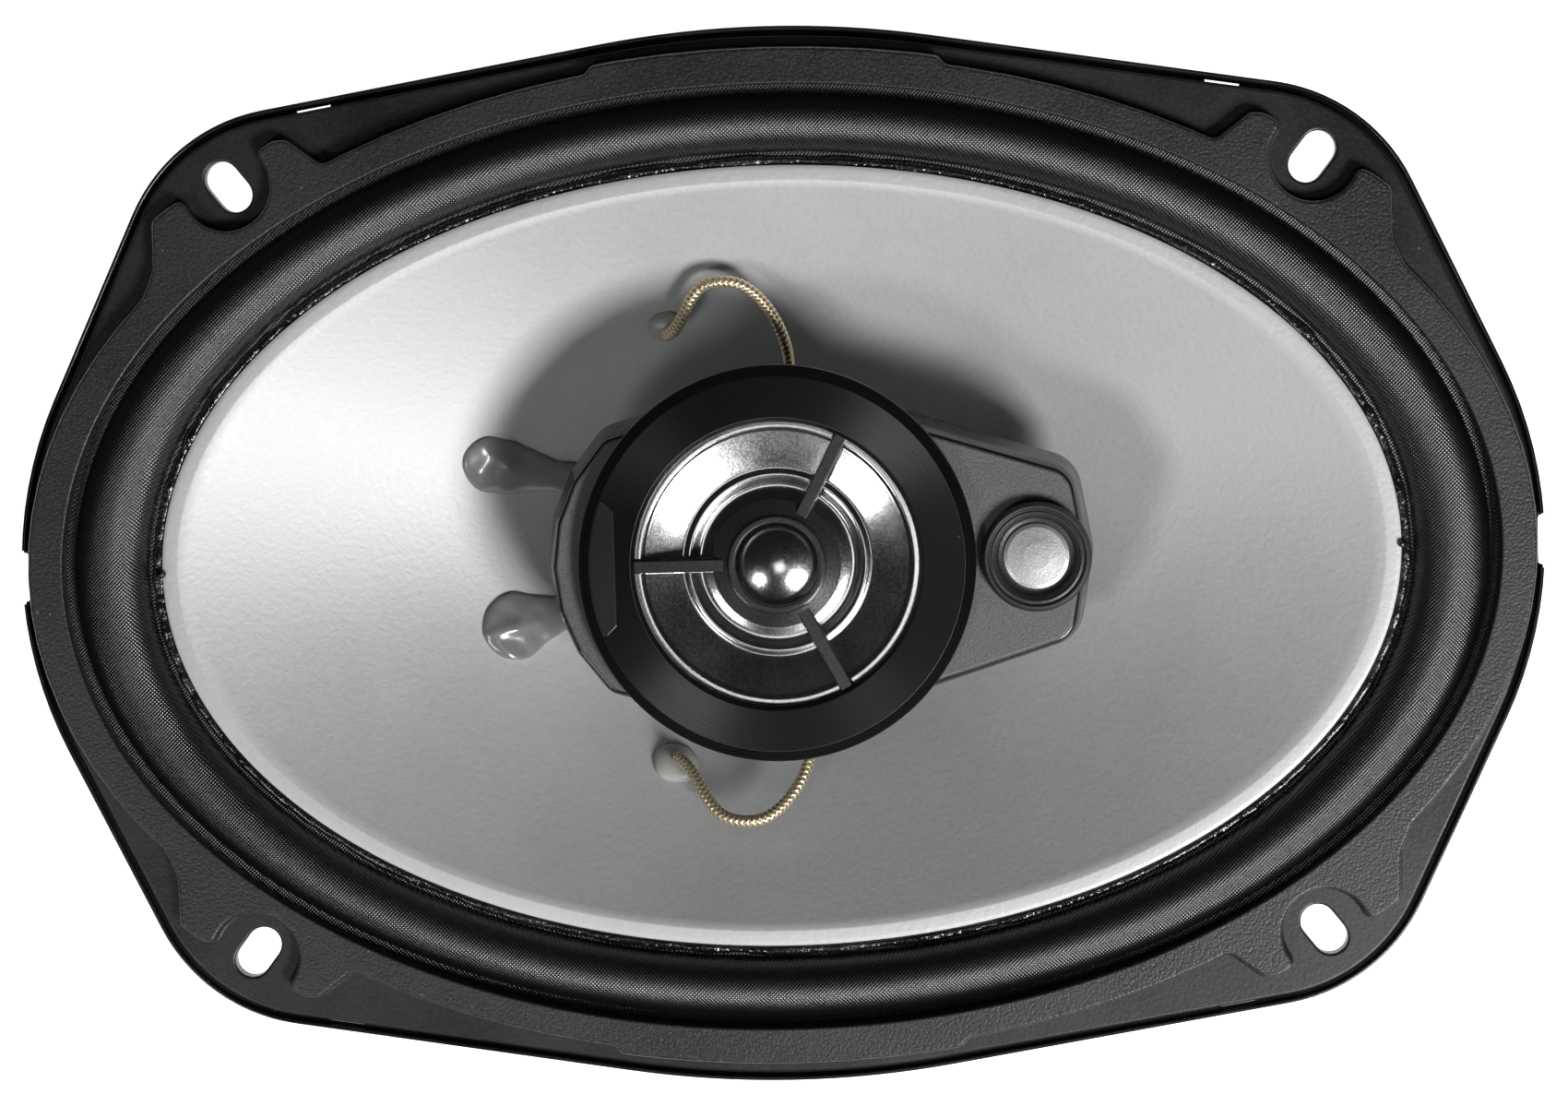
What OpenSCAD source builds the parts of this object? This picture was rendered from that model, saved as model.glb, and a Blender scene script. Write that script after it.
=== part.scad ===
// Oval two-cone car loudspeaker with a pod that carries a midrange and a small tweeter.
// Millimetres. +Z points out of the front, +X along the long axis.
// z = 0 is the rear face of the mounting flange, on the axis of the voice coil.

/* [Flange] */
// Overall length of the flange
flange_l = 238; // [215:0.5:286]
// Overall width of the flange
flange_w = 165.2; // [137:0.2:190]
// Thickness of the basket's steel sheet
sheet_t = 1.2; // [0.8:0.1:1.6]
// Radius of the flange's corner at each mounting ear
ear_r = 28; // [22:0.5:32]
// Radius of the flange's short ends
end_r = 64.7; // [50:0.1:75]
// Radius of the flange's long sides
side_r = 158.5; // [120:0.5:300]
// Height of the turned-up lip round the flange
lip_h = 2.6; // [1.6:0.1:3.2]
// Thickness of the turned-up lip
lip_t = 0.65; // [0.4:0.05:1]

/* [Mounting slots] */
// Distance from a short end of the flange to the slot's centre
slot_inset_x = 35.1; // [28:0.1:42]
// Distance from a long side of the flange to the slot's centre
slot_inset_y = 22.4; // [18:0.1:28]
// Width of a mounting slot
slot_w = 5.4; // [4:0.1:6.5]
// Length of a mounting slot over its round ends
slot_l = 8.6; // [6.6:0.1:11]
// Angle of the slots to the long axis
slot_turn = 52; // [30:1:70]

/* [Trim ring] */
// Width of the trim's upper level at the short ends
rim_x = 7.2; // [5:0.1:9]
// Distance from the long side of the flange to the trim's inner edge
rim_y = 9; // [6:0.1:12]
// Height of the trim's lower level above the mounting face
trim_low = 3; // [2.4:0.1:4]
// Height of the trim's upper level above the mounting face
trim_high = 6; // [5:0.1:8]

/* [Surround and cone] */
// Visible width of the surround at the short ends
roll_x = 14.9; // [12:0.1:18]
// Visible width of the surround at the long sides
roll_y = 12.4; // [10:0.1:15]
// Height of the half roll above its feet
roll_h = 4.7; // [3:0.1:6]
// Thickness of the cloth surround and the spider
cloth_t = 0.6; // [0.4:0.05:0.8]
// Thickness of the cone's wall
cone_t = 0.8; // [0.5:0.05:1.2]
// Width of the flat band round the cone's mouth
band_w = 2.5; // [1.5:0.1:4]

/* [Basket and motor] */
// Depth from the mounting face to the front of the top plate
basket_depth = 50; // [44:0.5:62]
// Outer radius of the voice coil former
former_r = 15.9; // [13:0.1:19.5]
// Radial build of the voice coil winding
winding_t = 0.6; // [0.4:0.05:0.9]
// Height of the voice coil winding
winding_h = 12; // [9:0.5:15]
// Radius of the ferrite magnet
magnet_r = 45; // [42:0.5:54]
// Thickness of the ferrite magnet
magnet_h = 15; // [12:0.5:20]
// Thickness of the top plate
top_plate_h = 5; // [4:0.5:7]
// Thickness of the yoke's back plate
back_plate_h = 6; // [5:0.5:8]
// Outer radius of the spider
spider_r = 50; // [46:0.5:56]

/* [Pod] */
// Outer radius of the bezel ring
bezel_r = 30.7; // [27:0.1:36.9]
// Height of the pod's top face above the mounting face
pod_top = 8; // [6:0.5:12]
// Depth of the pod's shell
pod_h = 13; // [12:0.5:16]
// Height of the bezel ring above the pod's top face
bezel_h = 4; // [3:0.1:5]
// Wall of the pod's shell
pod_wall = 1.6; // [1.2:0.1:2.2]
// Inward slope of the pod's skirt over its height
pod_draft = 1.6; // [1:0.1:3]
// Outer radius of the tweeter's ring
tweeter_r = 8.5; // [7.5:0.1:10.5]
// Visible outer radius of the midrange diaphragm
mid_r = 20.9; // [18:0.1:21.5]

/* [Hidden] */

$fn = 96;
ring_n = 96;       // points round an oval loft
cut = 1;           // how far a cutter runs past the face it cuts
glue = 0.05;       // clearance at a glued joint
fit = 0.2;         // clearance round a part that drops into a recess

// Ovals, each as [half length, half width].
trim_in = [flange_l / 2 - rim_x, flange_w / 2 - rim_y];
cone_out = [trim_in[0] - roll_x, trim_in[1] - roll_y];
opening = [trim_in[0] - 2.2, trim_in[1] - 2.2];
slot_x = flange_l / 2 - slot_inset_x;
slot_y = flange_w / 2 - slot_inset_y;

// Heights of the stack, front to back.
floor_z = -basket_depth;
ledge_z = floor_z + 14;
neck_z = ledge_z + 4;
band_z = sheet_t + 0.5;
magnet_z = floor_z - top_plate_h;
back_z = magnet_z - magnet_h;
rear_z = back_z - back_plate_h;

// Motor radii, from the voice coil outwards and inwards.
former_t = 0.3;
former_in = former_r - former_t;
pole_r = former_in - 0.4;
winding_r = former_r + winding_t;
gap_r = winding_r + 0.5;
magnet_bore_r = gap_r + 5;
floor_hole_r = gap_r + 9;
plate_r = magnet_r - 4;
floor_r = magnet_r - 1;
post_r = former_in - 4.6;
rivet_ring_r = (floor_hole_r + floor_r) / 2 - 0.6;
rivet_r = 2;
rivet_head_r = 3.6;
ledge_in = spider_r - 3.5;
ledge_out = spider_r + 4;

// Basket windows.
window_count = 6;
window_half = 22;
window_low = ledge_z + 2;
window_high = -10;

// Bolt through the motor and the pod post.
bolt_r = 2.5;
bolt_head_r = 4.6;
bolt_head_h = 3;
nut_z = floor_z + 28;
nut_h = 4;
nut_r = 4.6;

// Pod.
pod_low = pod_top - pod_h;
base_t = 2;
tweeter_x = bezel_r + 0.8 + tweeter_r;
pod_left_r = bezel_r - 2.5;
pod_left_x = -8.3;
pod_tip_r = 6.3;
pod_lobe_r = 5;
// Circles that the pod's outline hugs, as [x, y, radius]: left lobe, middle and tip.
pod_rounds = concat(
    [for (a = [-46, -30, -15, 0, 15, 30, 46])
        [pod_left_x - (pod_left_r - pod_lobe_r) * cos(a), (pod_left_r - pod_lobe_r) * sin(a), pod_lobe_r]],
    [[0, 0, bezel_r - 3.2]],
    [for (y = [-9.2, 0, 9.2]) [tweeter_x + (y == 0 ? 3.1 : 1.5), y, pod_tip_r]]
);
pod_right_x = tweeter_x - 10.8;
mid_seat_r = mid_r + 1.3;
mid_hole_r = mid_seat_r + 0.4;
tweeter_hole_r = 5.2;
post_flange_r = post_r + 4;
plaque_x = -24.6;
plaque_half = 10.7;

// Midrange motor, from its pole outwards. The coil keeps 0.4 of travel and more.
mid_coil_r = 9.7;
mid_coil_t = 0.5;
mid_pole_r = mid_coil_r - mid_coil_t - 0.5;
mid_cup_in = mid_coil_r + 0.5;
mid_cup_out = mid_cup_in + 2.6;
mid_cup_z = pod_low + 0.2;
mid_gap_top = pod_top - 4.4;
mid_rim_z = pod_top + 1.6;
mid_coil_top = mid_rim_z - 2.1;
hub_z = pod_top + 2.1;

// Terminals, on a bracket under the basket's end.
bracket_x = -(ledge_out + 12);
board = [18, 30, 1.6];
board_z = ledge_z - board[2];
solder = [bracket_x + 6, 12];

// A route's points are fractions of the way from its start to its end, with a rise
// in Z and a push along X and Y added, so a lead stays joined when a size changes.
lead_r = 0.8;
front_dab = [[-17.8, 36.6], [-18.1, -34.4]];
front_end = [[2.4, 22], [4.8, -22]];
grey_dab = [[-46.6, 14.8], [-43.8, -11.7]];
dab_r = [2.8, 3.7];
dab_h = 2.2;
dab_sink = 0.4;
eyelet_low = 1.7;
front_route = [
    [0, 0, 0, 0], [0.06, 0.4, 1.8, 2], [0.14, 0.4, 5, 3.8], [0.24, -0.2, 8.8, 5],
    [0.36, -0.6, 12.4, 5.4], [0.48, 0, 14.6, 5], [0.6, 0.6, 15.5, 4],
    [0.7, 1.2, 14.8, 2.4], [0.8, 1.6, 12.8, 0.4], [0.88, 1.6, 9.8, -1.8],
    [0.94, 1, 6.4, -3.6], [0.98, 0.4, 2.6, -4.2], [1, 0, 0.2, -3.2], [1, 0, 0, -1.6], [1, 0, 0, 0]
];
rear_route = [
    [0, 0, 0, 0], [0.04, -0.3, 0.2, 2.6], [0.12, -1.2, 0.9, 4], [0.24, -2.2, 1.8, 3.4],
    [0.38, -2.6, 2.6, 1.2], [0.52, -2, 3, -1.2], [0.66, -0.8, 2.8, -3.2],
    [0.8, 0.6, 2, -4], [0.9, 0.8, 1, -3.4], [0.97, 0.2, 0.2, -1.6], [1, 0, 0, 0]
];

// ---- functions ----

// Points of an arc about c from angle a0 to a1.
function arc(c, r, a0, a1, n) =
    [for (i = [0:n]) c + r * [cos(a0 + (a1 - a0) * i / n), sin(a0 + (a1 - a0) * i / n)]];

// Direction of the outer tangent that leaves circle (c, r) for the smaller (d, s), or of
// the line of centres where the smaller lies inside the larger.
function tangent_turn(c, r, d, s) =
    atan2(d[1] - c[1], d[0] - c[0]) - acos(min(1, (r - s) / norm(d - c)));
function tangent_back(c, r, d, s) =
    atan2(d[1] - c[1], d[0] - c[0]) + acos(min(1, (r - s) / norm(d - c)));

// One quarter of the flange's outline, moved inwards by inset.
function flange_quarter(inset) =
    let (e = [flange_l / 2 - end_r, 0])
    let (s = [0, flange_w / 2 - side_r])
    let (c = [slot_x, slot_y] - 18.8 * [cos(58), sin(58)])
    let (t1 = tangent_turn(e, end_r, c, ear_r))
    let (t2 = tangent_back(s, side_r, c, ear_r))
    let (t3 = 2 * atan2(c[1] - s[1], c[0] - s[0]) - t2)
    let (t4 = t3 > t2 ? t3 : t2)
    concat(
        arc(e, end_r - inset, 0, t1, 8),
        arc(c, ear_r - inset, t1, t4, 14),
        arc(s, side_r - inset, t4, 90, 8)
    );

// The whole outline, from its quarter and the quarter's mirror images.
function mirrored(q) = concat(
    q,
    [for (i = [len(q) - 2:-1:0]) [-q[i][0], q[i][1]]],
    [for (i = [1:len(q) - 1]) [-q[i][0], -q[i][1]]],
    [for (i = [len(q) - 2:-1:1]) [q[i][0], -q[i][1]]]
);

function oval(h, n) = [for (i = [0:n - 1]) [h[0] * cos(360 * i / n), h[1] * sin(360 * i / n)]];
function grow(h, d) = [h[0] + d, h[1] + d];

// Half axes of the cone's wall at a share s of the way from the neck to the band.
cone_end = grow(cone_out, -band_w);
function cone_axes(s) = [former_r + s * (cone_end[0] - former_r), former_r + s * (cone_end[1] - former_r)];
function cone_miss(p, s) =
    pow(p[0] / cone_axes(s)[0], 2) + pow(p[1] / cone_axes(s)[1], 2) - 1;
function cone_share(p, lo = 0, hi = 1, k = 24) =
    k == 0 ? (lo + hi) / 2
    : cone_miss(p, (lo + hi) / 2) > 0 ? cone_share(p, (lo + hi) / 2, hi, k - 1)
    : cone_share(p, lo, (lo + hi) / 2, k - 1);
// Height of the cone's front surface over a point.
function cone_top(p) = neck_z + cone_share(p) * (band_z - neck_z);
// Slope of the cone's front at a point, and its unit normal.
function cone_slope(p) = [
    (cone_top(p + [1, 0]) - cone_top(p - [1, 0])) / 2, (cone_top(p + [0, 1]) - cone_top(p - [0, 1])) / 2
];
function cone_normal(p) = let (g = cone_slope(p)) [-g[0], -g[1], 1] / norm([g[0], g[1], 1]);
// The point at a height h over the cone's front, square to it.
function over_cone(p, h) = [p[0], p[1], cone_top(p)] + h * cone_normal(p);

function bend(p0, p1, route) = [
    for (q = route) p0 + q[0] * (p1 - p0) + [q[1], q[2] * sign(p0[1]), q[3]]
];

// ---- shared shapes ----

// A closed shell through oval rows [half length, half width, z]. The rows go round the
// section down its inner face, out along its lower face and back over the top.
module oval_loft(rows) {
    m = len(rows);
    points = [for (r = rows) for (p = oval(r, ring_n)) [p[0], p[1], r[2]]];
    faces = [
        for (j = [0:m - 1]) for (i = [0:ring_n - 1])
            let (k = (i + 1) % ring_n, l = (j + 1) % m)
            each [
                [j * ring_n + i, l * ring_n + k, j * ring_n + k],
                [j * ring_n + i, l * ring_n + i, l * ring_n + k]
            ]
    ];
    polyhedron(points, faces);
}

// A round lead with eight sides, swept through the points of path.
module lead(path, r) {
    n = len(path);
    points = [
        for (i = [0:n - 1])
            let (t = path[min(i + 1, n - 1)] - path[max(i - 1, 0)])
            let (u = t / norm(t))
            let (a = cross(u, [0.36, 0.48, -0.8]))
            let (v = a / norm(a))
            let (w = cross(u, v))
            for (k = [0:7]) path[i] + r * (cos(45 * k) * v + sin(45 * k) * w)
    ];
    faces = concat(
        [[for (k = [0:7]) k]],
        [for (i = [0:n - 2]) for (k = [0:7])
            let (l = (k + 1) % 8)
            each [
                [8 * i + k, 8 * i + 8 + k, 8 * i + 8 + l],
                [8 * i + k, 8 * i + 8 + l, 8 * i + l]
            ]
        ],
        [[for (k = [7:-1:0]) 8 * (n - 1) + k]]
    );
    polyhedron(points, faces);
}

// A Catmull-Rom curve through the points, with steps points for each stretch.
function spline(p, steps) = concat(
    [for (i = [0:len(p) - 2]) for (j = [0:steps - 1])
        let (a = p[max(i - 1, 0)], b = p[i], c = p[i + 1], d = p[min(i + 2, len(p) - 1)])
        let (t = j / steps)
        0.5 * (2 * b + (c - a) * t + (2 * a - 5 * b + 4 * c - d) * t * t
            + (3 * b - a - 3 * c + d) * t * t * t)
    ],
    [p[len(p) - 1]]
);

module turned(profile) {
    rotate_extrude() polygon(profile);
}

module at_ears() {
    for (sx = [-1, 1]) for (sy = [-1, 1])
        translate([sx * slot_x, sy * slot_y, 0]) rotate([0, 0, sx * sy * slot_turn]) children();
}

// A straight slot with round ends along X, as a cutter of height h.
module slot_cutter(l, w, h) {
    for (s = [-1, 1]) translate([s * (l - w) / 2, 0, 0]) cylinder(d = w, h = h);
    translate([-(l - w) / 2, -w / 2, 0]) cube([l - w, w, h]);
}

module flange_shape(inset) {
    polygon(mirrored(flange_quarter(inset)));
}

module pod_outline_solid(inset, low, high, draft) {
    hull() for (p = pod_rounds) translate([p[0], p[1], low])
        cylinder(r1 = p[2] - inset, r2 = p[2] - inset - draft, h = high - low);
}

// ---- basket and trim ----

// Oval wall of the bowl, from the flange's opening down to the round spider ledge.
module basket_wall() {
    t = sheet_t;
    shoulder = grow(opening, -3.4);
    oval_loft([
        [opening[0] + 2, opening[1] + 2, t - 0.3],
        [opening[0] - 0.5, opening[1] - 0.5, t - 0.3],
        [shoulder[0], shoulder[1], -8],
        [ledge_out - t - 2.3, ledge_out - t - 2.3, ledge_z + 0.7],
        [ledge_out - 2.4, ledge_out - 2.4, ledge_z + 0.3],
        [shoulder[0] + t, shoulder[1] + t, -8.6],
        [opening[0] + 0.9, opening[1] + 0.9, -0.5],
        [opening[0] + 2, opening[1] + 2, 0.3]
    ]);
}

// Round spider ledge, cup and floor.
module basket_cup() {
    t = sheet_t;
    turned([
        [ledge_out, ledge_z], [ledge_out, ledge_z + t], [ledge_in, ledge_z + t], [floor_r - t, floor_z + t],
        [floor_hole_r, floor_z + t], [floor_hole_r, floor_z], [floor_r, floor_z], [ledge_in + t, ledge_z]
    ]);
}

module window_cutter() {
    near = ledge_in / 2;
    far = flange_l;
    spread = tan(window_half);
    translate([0, 0, window_low]) linear_extrude(window_high - window_low)
        polygon([[near, -near * spread], [far, -far * spread], [far, far * spread], [near, near * spread]]);
}

module terminal_bracket() {
    translate([bracket_x - 4, -8, ledge_z]) cube([3 - ledge_out - bracket_x + 4, 16, sheet_t - fit]);
}

module flange_plate() {
    difference() {
        linear_extrude(lip_h) flange_shape(0);
        translate([0, 0, sheet_t]) linear_extrude(lip_h) flange_shape(lip_t);
        translate([0, 0, -cut]) linear_extrude(lip_h) polygon(oval(opening, ring_n));
        at_ears() translate([0, 0, -cut]) slot_cutter(slot_l, slot_w, lip_h + 2 * cut);
        for (sx = [-1, 1]) translate([sx * (flange_l / 2 + 2.1), 0, 0])
            cube([6, 7.6, 4 * lip_h], center = true);
        for (sx = [-1, 1]) for (sy = [-1, 1])
            translate([sx * (slot_x - 13.5), sy * (slot_y + 11.8), 0]) rotate([0, 0, -sx * sy * 9.4])
                cube([5.4, 0.7, 4 * sheet_t], center = true);
    }
}

module basket() color("#101012") {
    flange_plate();
    difference() {
        basket_wall();
        for (i = [0:window_count - 1]) rotate([0, 0, 30 + i * 360 / window_count]) window_cutter();
    }
    difference() {
        union() {
            basket_cup();
            terminal_bracket();
        }
        for (i = [0:3]) rotate([0, 0, 45 + 90 * i]) translate([rivet_ring_r, 0, floor_z - cut])
            cylinder(r = rivet_r, h = sheet_t + 2 * cut);
        translate([bracket_x + 1, 0, ledge_z - cut]) cylinder(r = 1.6, h = sheet_t + 2 * cut);
    }
}

// Upper level of the trim: an oval with a tab round each slot and wide middles.
module trim_upper_shape() {
    $fn = 32;
    tab = [[-19, 0], [-9.6, 7], [-7.5, 6.8], [9.4, -3.2], [11.7, -5], [11.8, -12.5], [14.5, -19], [0, -12]];
    outer = [flange_l / 2 - 1.7, flange_w / 2 - 4.6];
    difference() {
        offset(r = 1.2) offset(delta = -1.2) offset(r = -1.6) offset(delta = 1.6) difference() {
            union() {
                polygon(oval(outer, ring_n));
                intersection() {
                    polygon(oval(grow(outer, 1.2), ring_n));
                    square([54, flange_w], center = true);
                }
                for (sx = [-1, 1]) for (sy = [-1, 1]) polygon([
                    for (q = tab) [sx * (slot_x + q[0]), sy * (slot_y + q[1])]
                ]);
            }
            for (sx = [-1, 1]) for (sy = [-1, 1]) translate([sx * slot_x, sy * slot_y]) circle(r = 6.9);
        }
        polygon(oval(trim_in, ring_n));
    }
}

module trim_ring() color("#2c2c30") difference() {
    union() {
        translate([0, 0, sheet_t]) linear_extrude(trim_low - sheet_t) difference() {
            flange_shape(lip_t + 0.85);
            polygon(oval(trim_in, ring_n));
        }
        translate([0, 0, trim_low]) linear_extrude(trim_high - trim_low) trim_upper_shape();
    }
    translate([0, 0, sheet_t - cut]) linear_extrude(cut + cloth_t + 4 * glue)
        polygon(oval(grow(trim_in, 3), ring_n));
    at_ears() slot_cutter(slot_l, slot_w, trim_high + cut);
}

module basket_rivets() color("#8f9196") for (i = [0:3]) rotate([0, 0, 45 + 90 * i])
    translate([rivet_ring_r, 0, 0]) turned([
        [0, magnet_z + 1], [rivet_r, magnet_z + 1], [rivet_r, floor_z + sheet_t],
        [rivet_head_r, floor_z + sheet_t], [rivet_head_r - 0.9, floor_z + sheet_t + 1.1],
        [0, floor_z + sheet_t + 1.4]
    ]);

// ---- terminals ----

module terminal_board() color("#7a4a26") difference() {
    translate([bracket_x + 1 - board[0] / 2, -board[1] / 2, board_z]) cube(board);
    translate([bracket_x + 1, 0, board_z - cut]) cylinder(r = 1.6, h = board[2] + 2 * cut);
    for (s = [-1, 1]) translate([solder[0], s * solder[1], board_z - cut])
        cylinder(r = 0.9, h = board[2] + 2 * cut);
}

module terminal_rivet() color("#c9a24b") translate([bracket_x + 1, 0, 0]) turned([
    [0, board_z - 0.8], [2.8, board_z - 0.8], [2.8, board_z], [1.6, board_z],
    [1.6, ledge_z + sheet_t], [2.8, ledge_z + sheet_t], [2.2, ledge_z + sheet_t + 0.9],
    [0, ledge_z + sheet_t + 0.9]
]);

// A push-on blade along -X, with its root under the board's solder hole.
module blade_tab(side, width) {
    t = 0.8;
    reach = 12;
    edge = bracket_x + 1 - board[0] / 2;
    translate([0, 0, board_z - t]) linear_extrude(t) difference() {
        polygon([
            [solder[0] + 2.5, side * (solder[1] - 2.5)], [solder[0] + 2.5, side * (solder[1] + 2.5)],
            [edge, side * (solder[1] - 3 + width / 2)], [edge - reach + 1.5, side * (solder[1] - 3 + width / 2)],
            [edge - reach, side * (solder[1] - 3 + width / 4)], [edge - reach, side * (solder[1] - 3 - width / 4)],
            [edge - reach + 1.5, side * (solder[1] - 3 - width / 2)], [edge, side * (solder[1] - 3 - width / 2)]
        ]);
        translate([edge - reach / 2 - 1, side * (solder[1] - 3)]) circle(d = 1.6);
    }
}

module positive_tab() color("#c9cace") blade_tab(1, 6.3);
module negative_tab() color("#c9cace") blade_tab(-1, 4.8);

// ---- motor ----

module top_plate() color("#3a3b3f") difference() {
    turned([
        [gap_r, magnet_z], [plate_r, magnet_z], [plate_r, floor_z - 0.6], [plate_r - 0.6, floor_z],
        [gap_r, floor_z]
    ]);
    for (i = [0:3]) rotate([0, 0, 45 + 90 * i]) translate([rivet_ring_r, 0, magnet_z + 1])
        cylinder(r = rivet_r, h = top_plate_h);
}

module ferrite_magnet() color("#26272b") turned([
    [magnet_bore_r, back_z], [magnet_r - 1, back_z], [magnet_r, back_z + 1],
    [magnet_r, magnet_z - 1], [magnet_r - 1, magnet_z], [magnet_bore_r, magnet_z]
]);

module t_yoke() color("#3a3b3f") turned([
    [bolt_r + fit, rear_z + bolt_head_h], [bolt_head_r + 0.6, rear_z + bolt_head_h],
    [bolt_head_r + 0.6, rear_z], [plate_r - 3, rear_z], [plate_r, rear_z + 3], [plate_r, back_z],
    [pole_r + 2, back_z], [pole_r, back_z + 2], [pole_r, floor_z - 0.5], [pole_r - 0.5, floor_z],
    [bolt_r + fit, floor_z]
]);

module pod_bolt() color("#b9bbc0") difference() {
    turned([
        [0, rear_z + 0.2], [bolt_head_r - 0.6, rear_z + 0.2], [bolt_head_r, rear_z + 0.8],
        [bolt_head_r, rear_z + bolt_head_h], [bolt_r, rear_z + bolt_head_h],
        [bolt_r, nut_z + nut_h + 2], [0, nut_z + nut_h + 2]
    ]);
    translate([0, 0, rear_z - cut]) cylinder(r = 2, h = cut + 2, $fn = 6);
}

module pod_nut() color("#b9bbc0") translate([0, 0, nut_z]) difference() {
    cylinder(r = nut_r, h = nut_h, $fn = 6);
    translate([0, 0, -cut]) cylinder(r = bolt_r, h = nut_h + 2 * cut);
}

module voice_coil_former() color("#b08a4a") turned([
    [former_in, floor_z - top_plate_h / 2 - winding_h / 2], [former_r, floor_z - top_plate_h / 2 - winding_h / 2],
    [former_r, neck_z + 3], [former_in, neck_z + 3]
]);

module voice_coil_winding() color("#a8582a") translate([0, 0, floor_z - top_plate_h / 2 - winding_h / 2])
    turned([[former_r, 0], [winding_r, 0], [winding_r, winding_h], [former_r, winding_h]]);

module dust_seal() color("#1a1a1b") turned([
    [post_r + 0.5, neck_z + 0.4], [former_in - glue, neck_z + 0.4], [former_in - glue, neck_z + 2.6],
    [post_r + 0.5, neck_z + 2.6]
]);

// Corrugated spider: six ripples between a flat collar and a flat rim.
module spider() color("#b59a5a") {
    z0 = ledge_z + sheet_t + glue;
    r0 = former_r + 0.05;
    r1 = r0 + 3;
    r2 = spider_r - 4;
    wave = [for (i = [0:36]) let (r = r1 + (r2 - r1) * i / 36) [r, z0 + 1.3 * (1 - cos(360 * 6 * i / 36)) / 2]];
    lower = concat([[r0, z0]], wave, [[spider_r - fit, z0]]);
    upper = [for (i = [len(lower) - 1:-1:0]) lower[i] + [0, cloth_t]];
    turned(concat(lower, upper));
}

// ---- cone and surround ----

module cone() color("#c9cbd0") {
    b = cone_out;
    e = cone_end;
    neck = former_r + glue;
    oval_loft([
        [neck, neck, neck_z],
        [neck, neck, neck_z - cone_t],
        [e[0], e[1], band_z - cone_t],
        [b[0], b[1], band_z - cone_t + 0.1],
        [b[0], b[1], band_z],
        [e[0], e[1], band_z]
    ]);
}

// Rows of a half roll of height h between two feet, from the inner foot to the outer.
function roll_rows(mid, half, h, z_in, z_out) = [
    for (i = [0:9])
        let (a = 180 - 20 * i)
        [mid[0] + half[0] * cos(a), mid[1] + half[1] * cos(a), z_in + (z_out - z_in) * i / 9 + h * sin(a)]
];

// Half-roll surround: a lip under the cone's band, the roll, and a lip under the trim.
module surround() color("#131314") {
    t = cloth_t;
    z0 = band_z - cone_t - glue - t;
    z1 = sheet_t + glue;
    inner = grow(cone_end, 0.4);
    foot_in = grow(cone_out, 2);
    foot_out = grow(trim_in, -1.2);
    outer = grow(trim_in, 3 - fit);
    mid = (foot_in + foot_out) / 2;
    half = (foot_out - foot_in) / 2;
    over = roll_rows(mid, half, roll_h, z0 + t, z1 + t);
    under = roll_rows(mid, grow(half, -t), roll_h - t, z0, z1);
    oval_loft(concat(
        [[inner[0], inner[1], z0]],
        under,
        [[outer[0], outer[1], z1], [outer[0], outer[1], z1 + t]],
        [for (i = [len(over) - 1:-1:0]) over[i]],
        [[inner[0], inner[1], z0 + t]]
    ));
}

// Stands something square on the cone, at a height h over its front.
module on_cone(p, h) {
    g = cone_slope(p);
    translate(over_cone(p, h)) rotate([0, atan(norm(g)), atan2(-g[1], -g[0])]) children();
}

// A soft round dab of glue on the cone's front.
module dab(p, r, h) {
    on_cone(p, -dab_sink) turned([
        [0, 0], [r, 0], [r, 0.7], [r * 0.94, h * 0.6], [r * 0.72, h * 0.86], [r * 0.4, h * 0.97], [0, h]
    ]);
}

module clear_dabs() color("#d8d8d4") for (i = [0:1]) dab(front_dab[i], dab_r[i], dab_h);

// A long dab: a round head and a tail that runs inwards over the lead-out wire.
module grey_dabs() color("#77787a") for (p = grey_dab) {
    tail = [-22, p[1] * 0.62];
    hull() {
        on_cone(p, -dab_sink) cylinder(r1 = 4.4, r2 = 2.6, h = dab_h, $fn = 24);
        on_cone(tail, -dab_sink) cylinder(r1 = 2.4, r2 = 1.4, h = dab_h - 0.4, $fn = 24);
    }
}

module cone_eyelets() color("#c9a24b") for (p = concat(front_dab, grey_dab))
    on_cone(p, -eyelet_low) difference() {
        cylinder(r = 1.7, h = eyelet_low - 0.3);
        translate([0, 0, -cut]) cylinder(r = 0.7, h = cut + 0.5);
    }

// ---- leads ----

function front_path(i) = let (
    p = front_dab[i],
    q = front_end[i]
) bend(over_cone(p, dab_h - dab_sink + lead_r), [q[0], q[1], pod_low - base_t + 1], front_route);
function rear_path(i) = let (
    p = grey_dab[i],
    s = i == 0 ? 1 : -1
) bend([solder[0], s * solder[1], ledge_z + 0.1], over_cone(p, -eyelet_low - lead_r - 0.2), rear_route);

module front_lead_upper() color("#b39a63") lead(spline(front_path(0), 3), lead_r);
module front_lead_lower() color("#b39a63") lead(spline(front_path(1), 3), lead_r);
module rear_lead_positive() color("#b39a63") lead(spline(rear_path(0), 3), lead_r);
module rear_lead_negative() color("#b39a63") lead(spline(rear_path(1), 3), lead_r);

// ---- pod ----

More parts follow.
